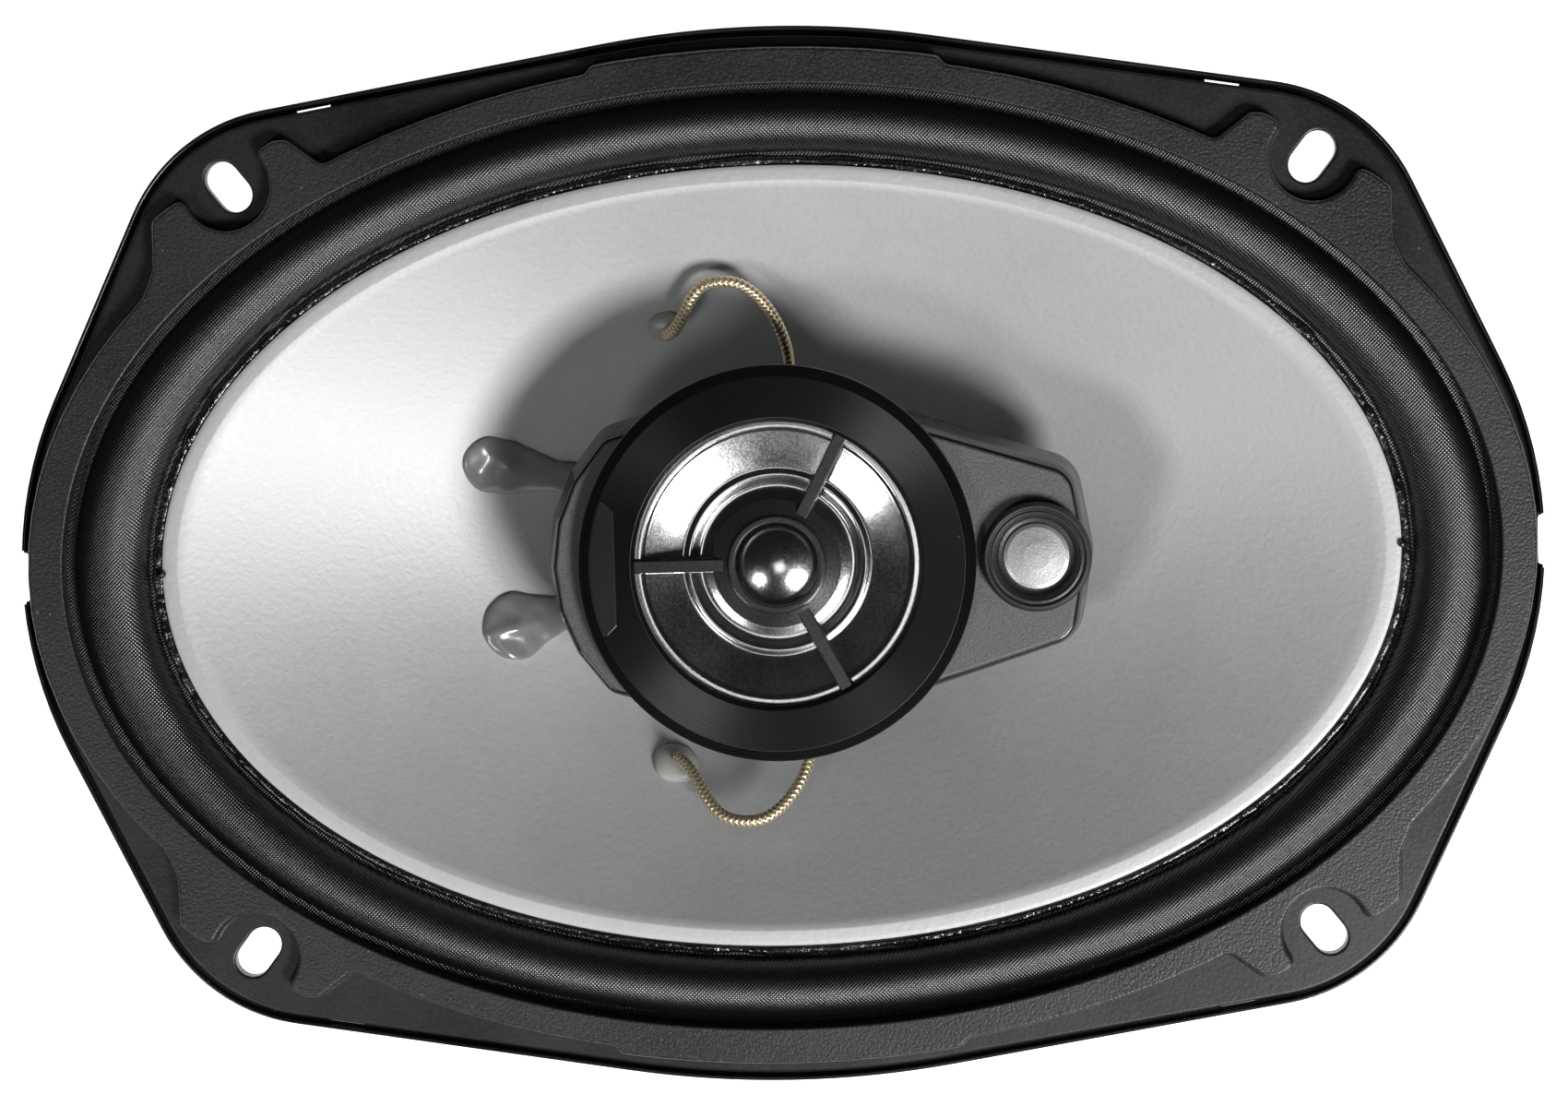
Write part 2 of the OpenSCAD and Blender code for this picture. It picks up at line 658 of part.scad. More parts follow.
module pod_post() color("#161617") difference() {
    turned([
        [bolt_r + fit, floor_z], [post_r + 1.4, floor_z], [post_r + 1.4, floor_z + 2],
        [post_r, floor_z + 4], [post_r, pod_low - base_t - 4], [post_flange_r, pod_low - base_t - 2],
        [post_flange_r, pod_low - base_t], [post_r - 3, pod_low - base_t], [post_r - 3, nut_z],
        [bolt_r + fit, nut_z]
    ]);
    for (s = [-1, 1]) translate([0, s * (post_r + 1.6), pod_low - base_t - 5]) cylinder(r = 1.2, h = 6);
}

module pod_base() color("#161617") difference() {
    translate([0, 0, pod_low - base_t]) pod_outline_solid(0.4, 0, base_t, 0);
    translate([0, 0, pod_low - base_t - cut]) cylinder(r = post_r - 4, h = base_t + 2 * cut);
    for (p = screw_places) translate([p[0], p[1], pod_low - base_t - cut]) cylinder(r = 1.5, h = base_t + 2 * cut);
    for (p = front_end) translate([p[0], p[1], pod_low - base_t - cut]) cylinder(r = 1.1, h = base_t + 2 * cut);
}

boss_r = 3;
screw_places = [
    [pod_left_x - pod_left_r + 9, 0], [pod_right_x - 3, tweeter_r + 4.1], [pod_right_x - 3, -tweeter_r - 4.1]
];

module pod_screws() color("#b9bbc0") for (p = screw_places)
    translate([p[0], p[1], pod_low - base_t]) difference() {
        turned([[0, -1.6], [2.4, -1.6], [2.8, -0.8], [2.8, 0], [1.45, 0], [1.45, base_t + 7], [0, base_t + 8]]);
        translate([0, 0, -2]) cylinder(r = 1, h = 1, $fn = 6);
    }

module pod_housing() color("#2b2b2e") {
    top_t = 1.8;
    difference() {
        pod_outline_solid(0, pod_low, pod_top, pod_draft);
        pod_outline_solid(pod_wall, pod_low - cut, pod_top - top_t, pod_draft);
        translate([0, 0, pod_top - top_t - cut]) cylinder(r = mid_hole_r, h = top_t + 2 * cut);
        translate([tweeter_x, 0, pod_top - top_t - cut]) cylinder(r = tweeter_hole_r, h = top_t + 2 * cut);
    }
    for (p = screw_places) translate([p[0], p[1], pod_low]) difference() {
        cylinder(r = boss_r, h = pod_h - top_t);
        translate([0, 0, -cut]) cylinder(r = 1.45, h = cut + 9);
    }
}

module bezel_ring() color("#232326") difference() {
    turned([
        [mid_hole_r, pod_top], [bezel_r, pod_top], [bezel_r, pod_top + bezel_h - 1.4],
        [bezel_r - 1.7, pod_top + bezel_h], [mid_r + 1.6, pod_top + bezel_h], [mid_r + 1, pod_top + bezel_h - 0.8],
        [mid_r + 1, mid_rim_z + 0.6], [mid_hole_r, mid_rim_z + 0.6]
    ]);
    translate([plaque_x - 20, -plaque_half, pod_top + bezel_h - 0.5]) cube([20, 2 * plaque_half, cut + 0.5]);
}

// Blank plaque let into the bezel, with cut corners on its straight side.
module name_plaque() color("#0c0c0d") intersection() {
    translate([0, 0, pod_top + bezel_h - 0.5]) cylinder(r = bezel_r - 1.5, h = 0.6);
    translate([0, 0, pod_top + bezel_h - 0.5]) linear_extrude(0.6) polygon([
        [plaque_x - fit, plaque_half - 1.8], [plaque_x - 1.8, plaque_half - fit], [plaque_x - 20, plaque_half - fit],
        [plaque_x - 20, fit - plaque_half], [plaque_x - 1.8, fit - plaque_half], [plaque_x - fit, 1.8 - plaque_half]
    ]);
}

// Three spokes that carry a ring over the middle of the midrange.
module spoke_grille() color("#151517") {
    turned([
        [9.9, hub_z], [9.9, hub_z + 0.5], [7.6, hub_z + 1.7], [7.3, hub_z + 2], [6.6, hub_z + 2],
        [6.4, hub_z + 1.7], [6.4, hub_z + 1.1], [9.2, hub_z]
    ]);
    for (turn = [62, 180, 298]) rotate([0, 0, turn]) translate([9.6, -0.95, hub_z]) cube([mid_r - 8, 1.9, 1.2]);
}

module mid_frame() color("#1c1c1e") turned([
    [mid_cup_out + glue, pod_low + 4], [mid_cup_out + 2, pod_low + 4], [mid_cup_out + 2.4, pod_top - 5],
    [mid_seat_r - 2.6, pod_top - 2.2], [mid_seat_r, pod_top - 1.6], [mid_seat_r, mid_rim_z - 1.4],
    [mid_seat_r - 2, mid_rim_z - 1.4], [mid_seat_r - 2.4, mid_rim_z - 2.7], [mid_cup_out + glue, pod_top - 3.4]
]);

module mid_yoke() color("#8f9196") turned([
    [0, mid_cup_z], [mid_cup_out - 0.6, mid_cup_z], [mid_cup_out, mid_cup_z + 0.6],
    [mid_cup_out, mid_gap_top], [mid_cup_in, mid_gap_top], [mid_cup_in, mid_cup_z + 1.6],
    [0, mid_cup_z + 1.6]
]);

module mid_magnet() color("#a9abb0") translate([0, 0, mid_cup_z + 1.6])
    cylinder(r = mid_pole_r - 0.4, h = mid_gap_top - mid_cup_z - 4);

module mid_pole_plate() color("#8f9196") translate([0, 0, mid_gap_top - 2.4])
    cylinder(r = mid_pole_r, h = 2.4);

// Metal-coated ring diaphragm: flat rim, long slope, crest and inner groove.
module mid_diaphragm() color("#d9dade") {
    t = 0.25;
    top = [
        [mid_r + 1.4, mid_rim_z], [mid_r, mid_rim_z], [mid_r - 0.5, mid_rim_z - 0.4],
        [14.4, mid_rim_z - 2.1], [13.9, mid_rim_z - 1.75], [13.2, mid_rim_z - 1.8], [12, mid_rim_z - 2.4],
        [10.6, mid_rim_z - 2.1], [mid_coil_r - mid_coil_t + 0.1, mid_rim_z - 1.85]
    ];
    turned(concat(top, [for (i = [len(top) - 1:-1:0]) top[i] - [0, t]]));
}

module mid_dome() color("#d9dade") {
    t = 0.25;
    r = mid_coil_r - mid_coil_t;
    rise = 4.2;
    ball = (r * r + rise * rise) / (2 * rise);
    z0 = mid_rim_z - 1.85;
    span = asin(r / ball);
    top = [for (i = [0:12]) let (a = span * i / 12) [ball * sin(a), z0 + rise - ball + ball * cos(a)]];
    turned(concat(top, [for (i = [12:-1:0]) top[i] - [0, t]]));
}

module mid_voice_coil() color("#a8582a") turned([
    [mid_coil_r - mid_coil_t, mid_gap_top - 3.4], [mid_coil_r, mid_gap_top - 3.4], [mid_coil_r, mid_gap_top],
    [mid_coil_r - 0.3, mid_gap_top], [mid_coil_r - 0.3, mid_coil_top - 0.25],
    [mid_coil_r - mid_coil_t, mid_coil_top - 0.25]
]);

module crossover_capacitor() color("#1e3f8a")
    translate([pod_right_x - 3, -6.4, pod_low + 4.6]) rotate([-90, 0, 0]) cylinder(r = 4, h = 12.8);

module tweeter_ring() color("#1a1a1c") translate([tweeter_x, 0, pod_top]) turned([
    [4.4, -2.4], [5, -2.4], [5, 0], [tweeter_r, 0], [tweeter_r, 1.9], [tweeter_r - 0.5, 2.6],
    [tweeter_r - 0.9, 2.6], [tweeter_r - 1.2, 2.2], [tweeter_r - 1.7, 2.4], [tweeter_r - 2.6, 0.7],
    [5.4, 0.5], [4.4, 0.5]
]);

module tweeter_diaphragm() color("#a4a6ab") translate([tweeter_x, 0, pod_top + 0.5]) turned([
    [0, 0], [5.1, 0], [5.1, 0.3], [4.4, 0.5], [2, 0.7], [0, 0.75]
]);

module piezo_plate() color("#c9a24b") translate([tweeter_x, 0, pod_top - 1.2])
    cylinder(r = 4.3, h = 0.25);

module piezo_element() color("#e4e1d6") translate([tweeter_x, 0, pod_top - 1.6])
    cylinder(r = 3.4, h = 0.4);

// ---- assembly ----

basket();
trim_ring();
basket_rivets();
terminal_board();
terminal_rivet();
positive_tab();
negative_tab();
top_plate();
ferrite_magnet();
t_yoke();
pod_bolt();
pod_nut();
pod_post();
pod_base();
pod_screws();
pod_housing();
bezel_ring();
name_plaque();
spoke_grille();
mid_frame();
mid_yoke();
mid_magnet();
mid_pole_plate();
mid_diaphragm();
mid_dome();
mid_voice_coil();
tweeter_ring();
tweeter_diaphragm();
piezo_plate();
piezo_element();
crossover_capacitor();
cone();
voice_coil_former();
voice_coil_winding();
dust_seal();
clear_dabs();
grey_dabs();
cone_eyelets();
surround();
spider();
front_lead_upper();
front_lead_lower();
rear_lead_positive();
rear_lead_negative();
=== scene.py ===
"""Looks for an oval coaxial loudspeaker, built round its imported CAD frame.

Sizes are in millimetres and become metres when a mesh is made. +Z points out of the front and z = 0 is
the rear face of the mounting flange, as in the frame.
"""

import logging
import math
from dataclasses import dataclass
from enum import Enum

import bmesh
import bpy
import numpy as np
from mathutils import Matrix, Vector
from mathutils.geometry import delaunay_2d_cdt


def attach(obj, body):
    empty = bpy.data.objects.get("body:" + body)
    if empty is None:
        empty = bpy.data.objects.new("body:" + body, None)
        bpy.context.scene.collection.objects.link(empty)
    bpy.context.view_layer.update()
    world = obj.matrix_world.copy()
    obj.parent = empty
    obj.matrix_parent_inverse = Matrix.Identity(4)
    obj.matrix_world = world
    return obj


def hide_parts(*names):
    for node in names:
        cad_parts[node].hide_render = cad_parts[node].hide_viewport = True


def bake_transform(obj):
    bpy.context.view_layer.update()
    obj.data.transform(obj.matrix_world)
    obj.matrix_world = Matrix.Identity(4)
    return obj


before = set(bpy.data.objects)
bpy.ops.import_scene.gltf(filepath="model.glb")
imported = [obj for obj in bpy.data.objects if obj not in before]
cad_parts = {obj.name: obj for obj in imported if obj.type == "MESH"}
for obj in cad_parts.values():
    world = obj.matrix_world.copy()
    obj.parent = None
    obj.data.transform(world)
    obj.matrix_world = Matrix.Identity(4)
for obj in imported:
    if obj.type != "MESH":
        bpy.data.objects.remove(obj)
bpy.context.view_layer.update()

MM = 0.001
CHASSIS = "chassis"
CONE_BODY = "cone_assembly"
MID_BODY = "mid_assembly"
LOG = logging.getLogger("loudspeaker")
Colour = tuple[float, float, float]
Size = tuple[float, float]

# Places that several pieces share: the trim's inner oval, and the dabs of glue on the cone.
TRIM_IN: Size = (111.8, 73.6)
CLEAR_DABS = ((-17.8, 36.6, 2.8), (-18.1, -34.4, 3.7))
GREY_DABS = ((-46.6, 14.8), (-43.8, -11.7))


# ---------------------------------------------------------------- shapes


def grid_quads(rows: int, columns: int, close_rows: bool, close_columns: bool) -> np.ndarray:
    """Four-sided faces of a grid whose points are numbered row by row.

    Args:
        rows: Number of rows of points.
        columns: Number of points in a row.
        close_rows: Whether the last row joins the first.
        close_columns: Whether each row's last point joins its first.

    Returns:
        One face a line, as four point numbers.
    """
    i = np.arange(rows if close_rows else rows - 1)
    j = np.arange(columns if close_columns else columns - 1)
    i, j = np.meshgrid(i, j, indexing="ij")
    k, m = (i + 1) % rows, (j + 1) % columns
    return np.stack([i * columns + j, k * columns + j, k * columns + m, i * columns + m], -1).reshape(-1, 4)


def mesh_object(name: str, points: np.ndarray, faces: list[np.ndarray],
                crease: float = 38.0) -> bpy.types.Object:
    """Makes a closed, smooth-shaded object from points and faces.

    Args:
        name: The piece's name.
        points: Points in millimetres, one a line.
        faces: Arrays of faces, each as point numbers.
        crease: Angle in degrees past which an edge stays sharp.

    Returns:
        The new object, at the origin.
    """
    mesh = bpy.data.meshes.new(name)
    mesh.from_pydata((points * MM).tolist(), [], [face for block in faces for face in block.tolist()])
    work = bmesh.new()
    work.from_mesh(mesh)
    bmesh.ops.remove_doubles(work, verts=work.verts, dist=2e-6)
    bmesh.ops.dissolve_degenerate(work, edges=work.edges, dist=1e-7)
    bmesh.ops.recalc_face_normals(work, faces=work.faces)
    work.to_mesh(mesh)
    work.free()
    mesh.shade_smooth()
    mesh.set_sharp_from_angle(angle=math.radians(crease))
    made = bpy.data.objects.new(name, mesh)
    bpy.context.scene.collection.objects.link(made)
    return made


class Patchwork:
    """Grids of points that are joined into one piece."""

    def __init__(self) -> None:
        """Starts with nothing."""
        self.points: list[np.ndarray] = []
        self.faces: list[np.ndarray] = []
        self.count = 0

    def add(self, grid: np.ndarray, close_rows: bool, close_columns: bool, caps: str = "") -> None:
        """Adds a grid.

        Args:
            grid: Points in rows and columns.
            close_rows: Whether the last row joins the first.
            close_columns: Whether each row's last point joins its first.
            caps: "rows" closes the first and the last row with a face, "columns" the first and last column.
        """
        rows, columns = grid.shape[:2]
        numbers = self.count + np.arange(rows * columns).reshape(rows, columns)
        self.points.append(grid.reshape(-1, 3))
        self.faces.append(grid_quads(rows, columns, close_rows, close_columns) + self.count)
        if caps:
            ends = numbers if caps == "rows" else numbers.T
            self.faces += [ends[:1], ends[-1:]]
        self.count += rows * columns

    def made(self, name: str, crease: float = 38.0) -> bpy.types.Object:
        """Makes the piece from all the grids."""
        return mesh_object(name, np.concatenate(self.points), self.faces, crease)


def rounded(corners: list[Size] | np.ndarray, radius: float | list[float], steps: int = 5) -> np.ndarray:
    """Rounds the corners of a closed profile.

    Each corner becomes an arc that touches both sides at radius over the tangent of half the angle between
    them, with one more point on each side so that the flats shade flat.

    Args:
        corners: The profile's corners.
        radius: One radius, or one for each corner.
        steps: Number of steps in an arc.

    Returns:
        The rounded profile's points.
    """
    p = np.asarray(corners, float)
    r = np.broadcast_to(np.asarray(radius, float), (len(p),))
    before, after = np.roll(p, 1, axis=0) - p, np.roll(p, -1, axis=0) - p
    long_a, long_b = np.linalg.norm(before, axis=1), np.linalg.norm(after, axis=1)
    a, b = before / long_a[:, None], after / long_b[:, None]
    half = np.arccos(np.clip((a * b).sum(1), -0.9999, 0.9999)) / 2
    reach = np.minimum(np.maximum(r, 1e-3) / np.tan(half), 0.44 * np.minimum(long_a, long_b))
    real = reach * np.tan(half)
    middle = a + b
    middle = middle / np.linalg.norm(middle, axis=1)[:, None]
    centre = p + middle * (real / np.sin(half))[:, None]
    v0, v1 = p + a * reach[:, None] - centre, p + b * reach[:, None] - centre
    turn = (math.pi - 2 * half)[:, None, None]
    t = np.linspace(0, 1, steps + 1)[None, :, None]
    swung = np.sin((1 - t) * turn) * v0[:, None] + np.sin(t * turn) * v1[:, None]
    arc = centre[:, None] + swung / np.sin(turn)
    spare = np.minimum(0.1, 0.04 * np.minimum(long_a, long_b))
    first = p + a * (reach + spare)[:, None]
    last = p + b * (reach + spare)[:, None]
    return np.concatenate([first[:, None], arc, last[:, None]], axis=1).reshape(-1, 2)


def lathe(name: str, profile: np.ndarray, turns: int = 192, centre: Size = (0, 0),
          crease: float = 38.0) -> bpy.types.Object:
    """Turns a closed profile of [radius, height] once round an axis along Z.

    A point at radius r and height z goes to (r cos a, r sin a, z) for a whole turn of a.

    Args:
        name: The piece's name.
        profile: The closed profile.
        turns: Number of steps in the turn.
        centre: Where the axis stands.
        crease: Angle in degrees past which an edge stays sharp.

    Returns:
        The turned object.
    """
    angle = np.linspace(0, 2 * math.pi, turns, endpoint=False)
    r, z = profile[:, 0][:, None], profile[:, 1][:, None]
    points = np.stack([centre[0] + r * np.cos(angle), centre[1] + r * np.sin(angle), z + 0 * angle], -1)
    return mesh_object(name, points.reshape(-1, 3), [grid_quads(len(profile), turns, True, True)], crease)


def oval_shell(name: str, rows: np.ndarray, turns: int = 384, crease: float = 38.0) -> bpy.types.Object:
    """Closes a shell through ovals, each row being [half length, half width, height].

    A point of a row is (a cos t, b sin t, z) for a whole turn of t, and the last row joins the first.

    Args:
        name: The piece's name.
        rows: The ovals, once round the shell's section.
        turns: Number of points in an oval.
        crease: Angle in degrees past which an edge stays sharp.

    Returns:
        The shell.
    """
    t = np.linspace(0, 2 * math.pi, turns, endpoint=False)
    a, b, z = (rows[:, i][:, None] for i in range(3))
    points = np.stack([a * np.cos(t), b * np.sin(t), z + 0 * t], -1)
    return mesh_object(name, points.reshape(-1, 3), [grid_quads(len(rows), turns, True, True)], crease)


def side_ways(loop: np.ndarray) -> np.ndarray:
    """Unit normals of a counter-clockwise loop, towards its inside."""
    along = np.roll(loop, -1, axis=0) - np.roll(loop, 1, axis=0)
    along = along / np.linalg.norm(along, axis=1)[:, None]
    return np.stack([-along[:, 1], along[:, 0]], -1)


def rim_points(loop: np.ndarray, section: np.ndarray, inwards: float,
               ways: np.ndarray | None = None) -> np.ndarray:
    """Carries a section of [inset, height] along a flat loop.

    Each point is the loop's own point moved by the inset along its normal, at the section's height.

    Args:
        loop: The loop's points.
        section: The section's points.
        inwards: 1 for an outer edge, -1 for a hole's edge.
        ways: The loop's normals, if they are known.

    Returns:
        An array of section by loop by three.
    """
    normals = side_ways(loop) if ways is None else ways
    flat = loop[None] + inwards * section[:, 0][:, None, None] * normals[None]
    height = np.broadcast_to(section[:, 1][:, None, None], flat.shape[:2] + (1,))
    return np.concatenate([flat, height], -1)


def filled(loops: list[np.ndarray], starts: list[int]) -> np.ndarray:
    """Triangles that fill a flat outline with holes.

    The loops' points are joined into triangles that keep every side, and a triangle stays where a ray from
    its middle crosses the loops an odd number of times.

    Args:
        loops: The outline and its holes, as points.
        starts: The number of each loop's first point in the mesh.

    Returns:
        Triangles as point numbers in the mesh.
    """
    flat = np.concatenate(loops)[:, :2].astype(np.float32).astype(float)
    numbers = np.concatenate([start + np.arange(len(loop)) for loop, start in zip(loops, starts)])
    first = np.arange(len(flat))
    after = np.concatenate([np.roll(first[at: at + len(loop)], -1) for loop, at in
                            zip(loops, np.cumsum([0] + [len(loop) for loop in loops[:-1]]))])
    sides = np.stack([first, after], -1)
    found = delaunay_2d_cdt([Vector(p) for p in flat.tolist()], sides.tolist(), [], 0, 1e-6, True)
    origin = np.array([old[0] for old in found[3]])
    triangles = origin[np.array(found[2])]
    middle = flat[triangles].mean(axis=1)
    p, q = flat[sides[:, 0]], flat[sides[:, 1]]
    spans = (p[:, 1] > middle[:, 1:]) != (q[:, 1] > middle[:, 1:])
    rise = np.where(q[:, 1] == p[:, 1], 1.0, q[:, 1] - p[:, 1])
    cross = p[:, 0] + (middle[:, 1:] - p[:, 1]) * (q[:, 0] - p[:, 0]) / rise
    inside = (spans & (cross > middle[:, :1])).sum(axis=1) % 2 == 1
    return numbers[triangles[inside]]


def plate(name: str, outer: np.ndarray, holes: list[np.ndarray], edge: np.ndarray, hole_edge: np.ndarray,
          ways: np.ndarray | None = None) -> bpy.types.Object:
    """Makes a flat plate with shaped edges and holes.

    Args:
        name: The piece's name.
        outer: The outline, counter-clockwise.
        holes: The holes, counter-clockwise.
        edge: The outer edge's section of [inset, height], from the lower face to the upper.
        hole_edge: The section of each hole's edge.
        ways: The outline's normals, if they are known.

    Returns:
        The plate.
    """
    sweeps = [rim_points(outer, edge, 1, ways)] + [rim_points(hole, hole_edge, -1) for hole in holes]
    counts = [sweep.shape[0] * sweep.shape[1] for sweep in sweeps]
    starts = np.concatenate([[0], np.cumsum(counts)[:-1]])
    faces = [grid_quads(s.shape[0], s.shape[1], False, True) + start for s, start in zip(sweeps, starts)]
    faces.append(filled([s[0] for s in sweeps], [int(start) for start in starts]))
    top = [int(start) + (s.shape[0] - 1) * s.shape[1] for s, start in zip(sweeps, starts)]
    faces.append(filled([s[-1] for s in sweeps], top))
    return mesh_object(name, np.concatenate([s.reshape(-1, 3) for s in sweeps]), faces)


def edge_section(low: float, high: float, low_r: float, high_r: float, steps: int = 4) -> np.ndarray:
    """Section of a plate's edge: a rounded lower corner, an upright and a rounded upper corner.

    Args:
        low: Height of the lower face.
        high: Height of the upper face.
        low_r: Radius of the lower corner.
        high_r: Radius of the upper corner.
        steps: Number of steps in a corner.

    Returns:
        Points of [inset, height], from the lower face to the upper.
    """
    a = np.linspace(0, math.pi / 2, steps + 1)
    lower = np.stack([low_r * (1 - np.sin(a)), low + low_r * (1 - np.cos(a))], -1)
    upper = np.stack([high_r * (1 - np.cos(a)), high - high_r * (1 - np.sin(a))], -1)
    spare = 0.08
    first = np.array([[low_r + spare, low]])
    last = np.array([[high_r + spare, high]])
    return np.concatenate([first, lower, upper, last])


def oval_loop(half: Size, count: int = 480) -> np.ndarray:
    """Points of an oval with these half axes, counter-clockwise."""
    t = np.linspace(0, 2 * math.pi, count, endpoint=False)
    return np.stack([half[0] * np.cos(t), half[1] * np.sin(t)], -1)


def resampled(loop: np.ndarray, spacing: float, softness: float) -> np.ndarray:
    """Evens out a closed loop's points and rounds its corners a little.

    The loop is cut into equal steps, and its waves shorter than the softness are damped as a Gaussian blur
    along the loop would.

    Args:
        loop: The loop's points.
        spacing: Distance between the new points.
        softness: Width of the blur.

    Returns:
        The new loop.
    """
    closed = np.vstack([loop, loop[:1]])
    at = np.concatenate([[0], np.cumsum(np.linalg.norm(np.diff(closed, axis=0), axis=1))])
    count = max(32, int(at[-1] / spacing))
    t = np.linspace(0, at[-1], count, endpoint=False)
    even = np.stack([np.interp(t, at, closed[:, 0]), np.interp(t, at, closed[:, 1])], -1)
    waves = np.fft.fftfreq(count, at[-1] / count) * 2 * math.pi
    damp = np.exp(-0.5 * (waves * softness) ** 2)[:, None]
    return np.real(np.fft.ifft(np.fft.fft(even, axis=0) * damp, axis=0))


def node_outlines(node: str, height: float, spacing: float = 0.5, softness: float = 0.22) -> list[np.ndarray]:
    """Outlines of a CAD node's flat face at a height, widest first, counter-clockwise.

    The face's outline is made of the triangle sides that no other triangle of the face runs back along.

    Args:
        node: The CAD node.
        height: The face's height in millimetres.
        spacing: Distance between the outline's points.
        softness: Width of the blur that rounds its corners.

    Returns:
        The outlines in millimetres.
    """
    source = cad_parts[node]
    mesh = source.data
    mesh.calc_loop_triangles()
    flat = np.empty(len(mesh.vertices) * 3)
    mesh.vertices.foreach_get("co", flat)
    world = np.array(source.matrix_world)
    points = (flat.reshape(-1, 3) @ world[:3, :3].T + world[:3, 3]) / MM
    corners = np.empty(len(mesh.loop_triangles) * 3, int)
    mesh.loop_triangles.foreach_get("vertices", corners)
    places, same = np.unique(np.round(points, 3), axis=0, return_inverse=True)
    triangles = same.reshape(-1)[corners].reshape(-1, 3)
    level = np.abs(places[triangles][:, :, 2] - height).max(axis=1) < 0.004
    triangles = triangles[level]
    sides = np.concatenate([triangles[:, [0, 1]], triangles[:, [1, 2]], triangles[:, [2, 0]]])
    count = len(places)
    lone = ~np.isin(sides[:, 0] * count + sides[:, 1], sides[:, 1] * count + sides[:, 0])
    follow = np.full(count, -1)
    follow[sides[lone, 0]] = sides[lone, 1]
    left = follow >= 0
    loops = []
    while left.any():
        walk = walked(follow, int(np.argmax(left)), int(left.sum()) + 1)
        left[walk] = False
        loop = places[walk][:, :2]
        area = (loop[:, 0] * np.roll(loop[:, 1], -1) - loop[:, 1] * np.roll(loop[:, 0], -1)).sum()
        if len(walk) > 2:
            loops.append((abs(area), resampled(loop if area > 0 else loop[::-1], spacing, softness)))
    return [loop for _, loop in sorted(loops, key=lambda pair: pair[0], reverse=True)]


def walked(follow: np.ndarray, first: int, limit: int) -> np.ndarray:
    """Points met on a closed chain, by doubling jumps: the k-th is the first point moved on k times.

    Args:
        follow: The point that follows each point.
        first: Where the walk starts.
        limit: The longest walk.

    Returns:
        The chain's points in order.
    """
    steps = np.arange(limit + 1)
    place = np.full(limit + 1, first)
    jump = follow.copy()
    bit = 1
    while bit <= limit:
        take = (steps & bit) > 0
        place[take] = jump[place[take]]
        jump = np.where(jump >= 0, jump[jump], -1)
        bit *= 2
    back = np.nonzero(place[1:] == first)[0]
    return place[: back[0] + 1] if len(back) else place[:1]


def swell_noise(points: np.ndarray, seed: int, wave: float) -> np.ndarray:
    """Smooth random values from about -1 to 1: a sum of eight seeded sine waves in different directions."""
    draw = np.random.default_rng(seed)
    ways = draw.normal(size=(8, 3))
    ways = ways / np.linalg.norm(ways, axis=1)[:, None] * draw.uniform(0.6, 1.7, (8, 1)) * 2 * math.pi / wave
    shift = draw.uniform(0, 2 * math.pi, 8)
    return np.sin(points @ ways.T + shift).mean(axis=-1) * 1.8


# ---------------------------------------------------------------- finishes


class Relief(Enum):
    """Fine surface relief that a finish carries."""

    SMOOTH = "smooth"
    GRAIN = "moulded_grain"
    LEATHER = "leather_grain"
    WEAVE = "plain_weave"
    TURNED = "turned_lines"
    BRAID = "braid"


class NodeKit:
    """Makes nodes and links in one node tree."""

    def __init__(self, tree: bpy.types.NodeTree) -> None:
        """Keeps the tree."""
        self.tree = tree

    def add(self, kind: str, settings: dict | None = None, **inputs: object) -> bpy.types.Node:
        """Adds a node.

        Args:
            kind: The node's type.
            settings: Properties of the node.
            inputs: Values or sockets for its inputs, by name with underscores for spaces.

        Returns:
            The node.
        """
        node = self.tree.nodes.new(kind)
        for key, value in (settings or {}).items():
            setattr(node, key, value)
        for key, value in inputs.items():
            self.put(node.inputs[int(key[1:]) if key[1:].isdigit() else key.replace("_", " ")], value)
        return node

    def put(self, socket: bpy.types.NodeSocket, value: object) -> None:
        """Links a socket to another one, or sets its value."""
        if isinstance(value, bpy.types.NodeSocket):
            self.tree.links.new(value, socket)
        else:
            socket.default_value = value

    def maths(self, operation: str, a: object, b: object = 0.0, c: object = 0.0) -> bpy.types.NodeSocket:
        """Adds a Math node and returns its result."""
        return self.add("ShaderNodeMath", {"operation": operation}, i0=a, i1=b, i2=c).outputs[0]

    def spread(self, value: object, low: float, high: float, to_low: object,
               to_high: object) -> bpy.types.NodeSocket:
        """Maps a value from one range to another, smoothly and clamped."""
        node = self.add("ShaderNodeMapRange", {"interpolation_type": "SMOOTHSTEP"}, Value=value)
        for key, number in (("From Min", low), ("From Max", high), ("To Min", to_low), ("To Max", to_high)):
            self.put(node.inputs[key], number)
        return node.outputs["Result"]

    def blended(self, factor: object, first: object, second: object) -> bpy.types.NodeSocket:
        """Mixes two colours and returns the result."""
        node = self.tree.nodes.new("ShaderNodeMix")
        node.data_type = "RGBA"
        self.put(node.inputs[0], factor)
        self.put(node.inputs[6], first)
        self.put(node.inputs[7], second)
        return node.outputs[2]

    def places(self) -> bpy.types.NodeSocket:
        """Object coordinates."""
        return self.add("ShaderNodeTexCoord").outputs["Object"]


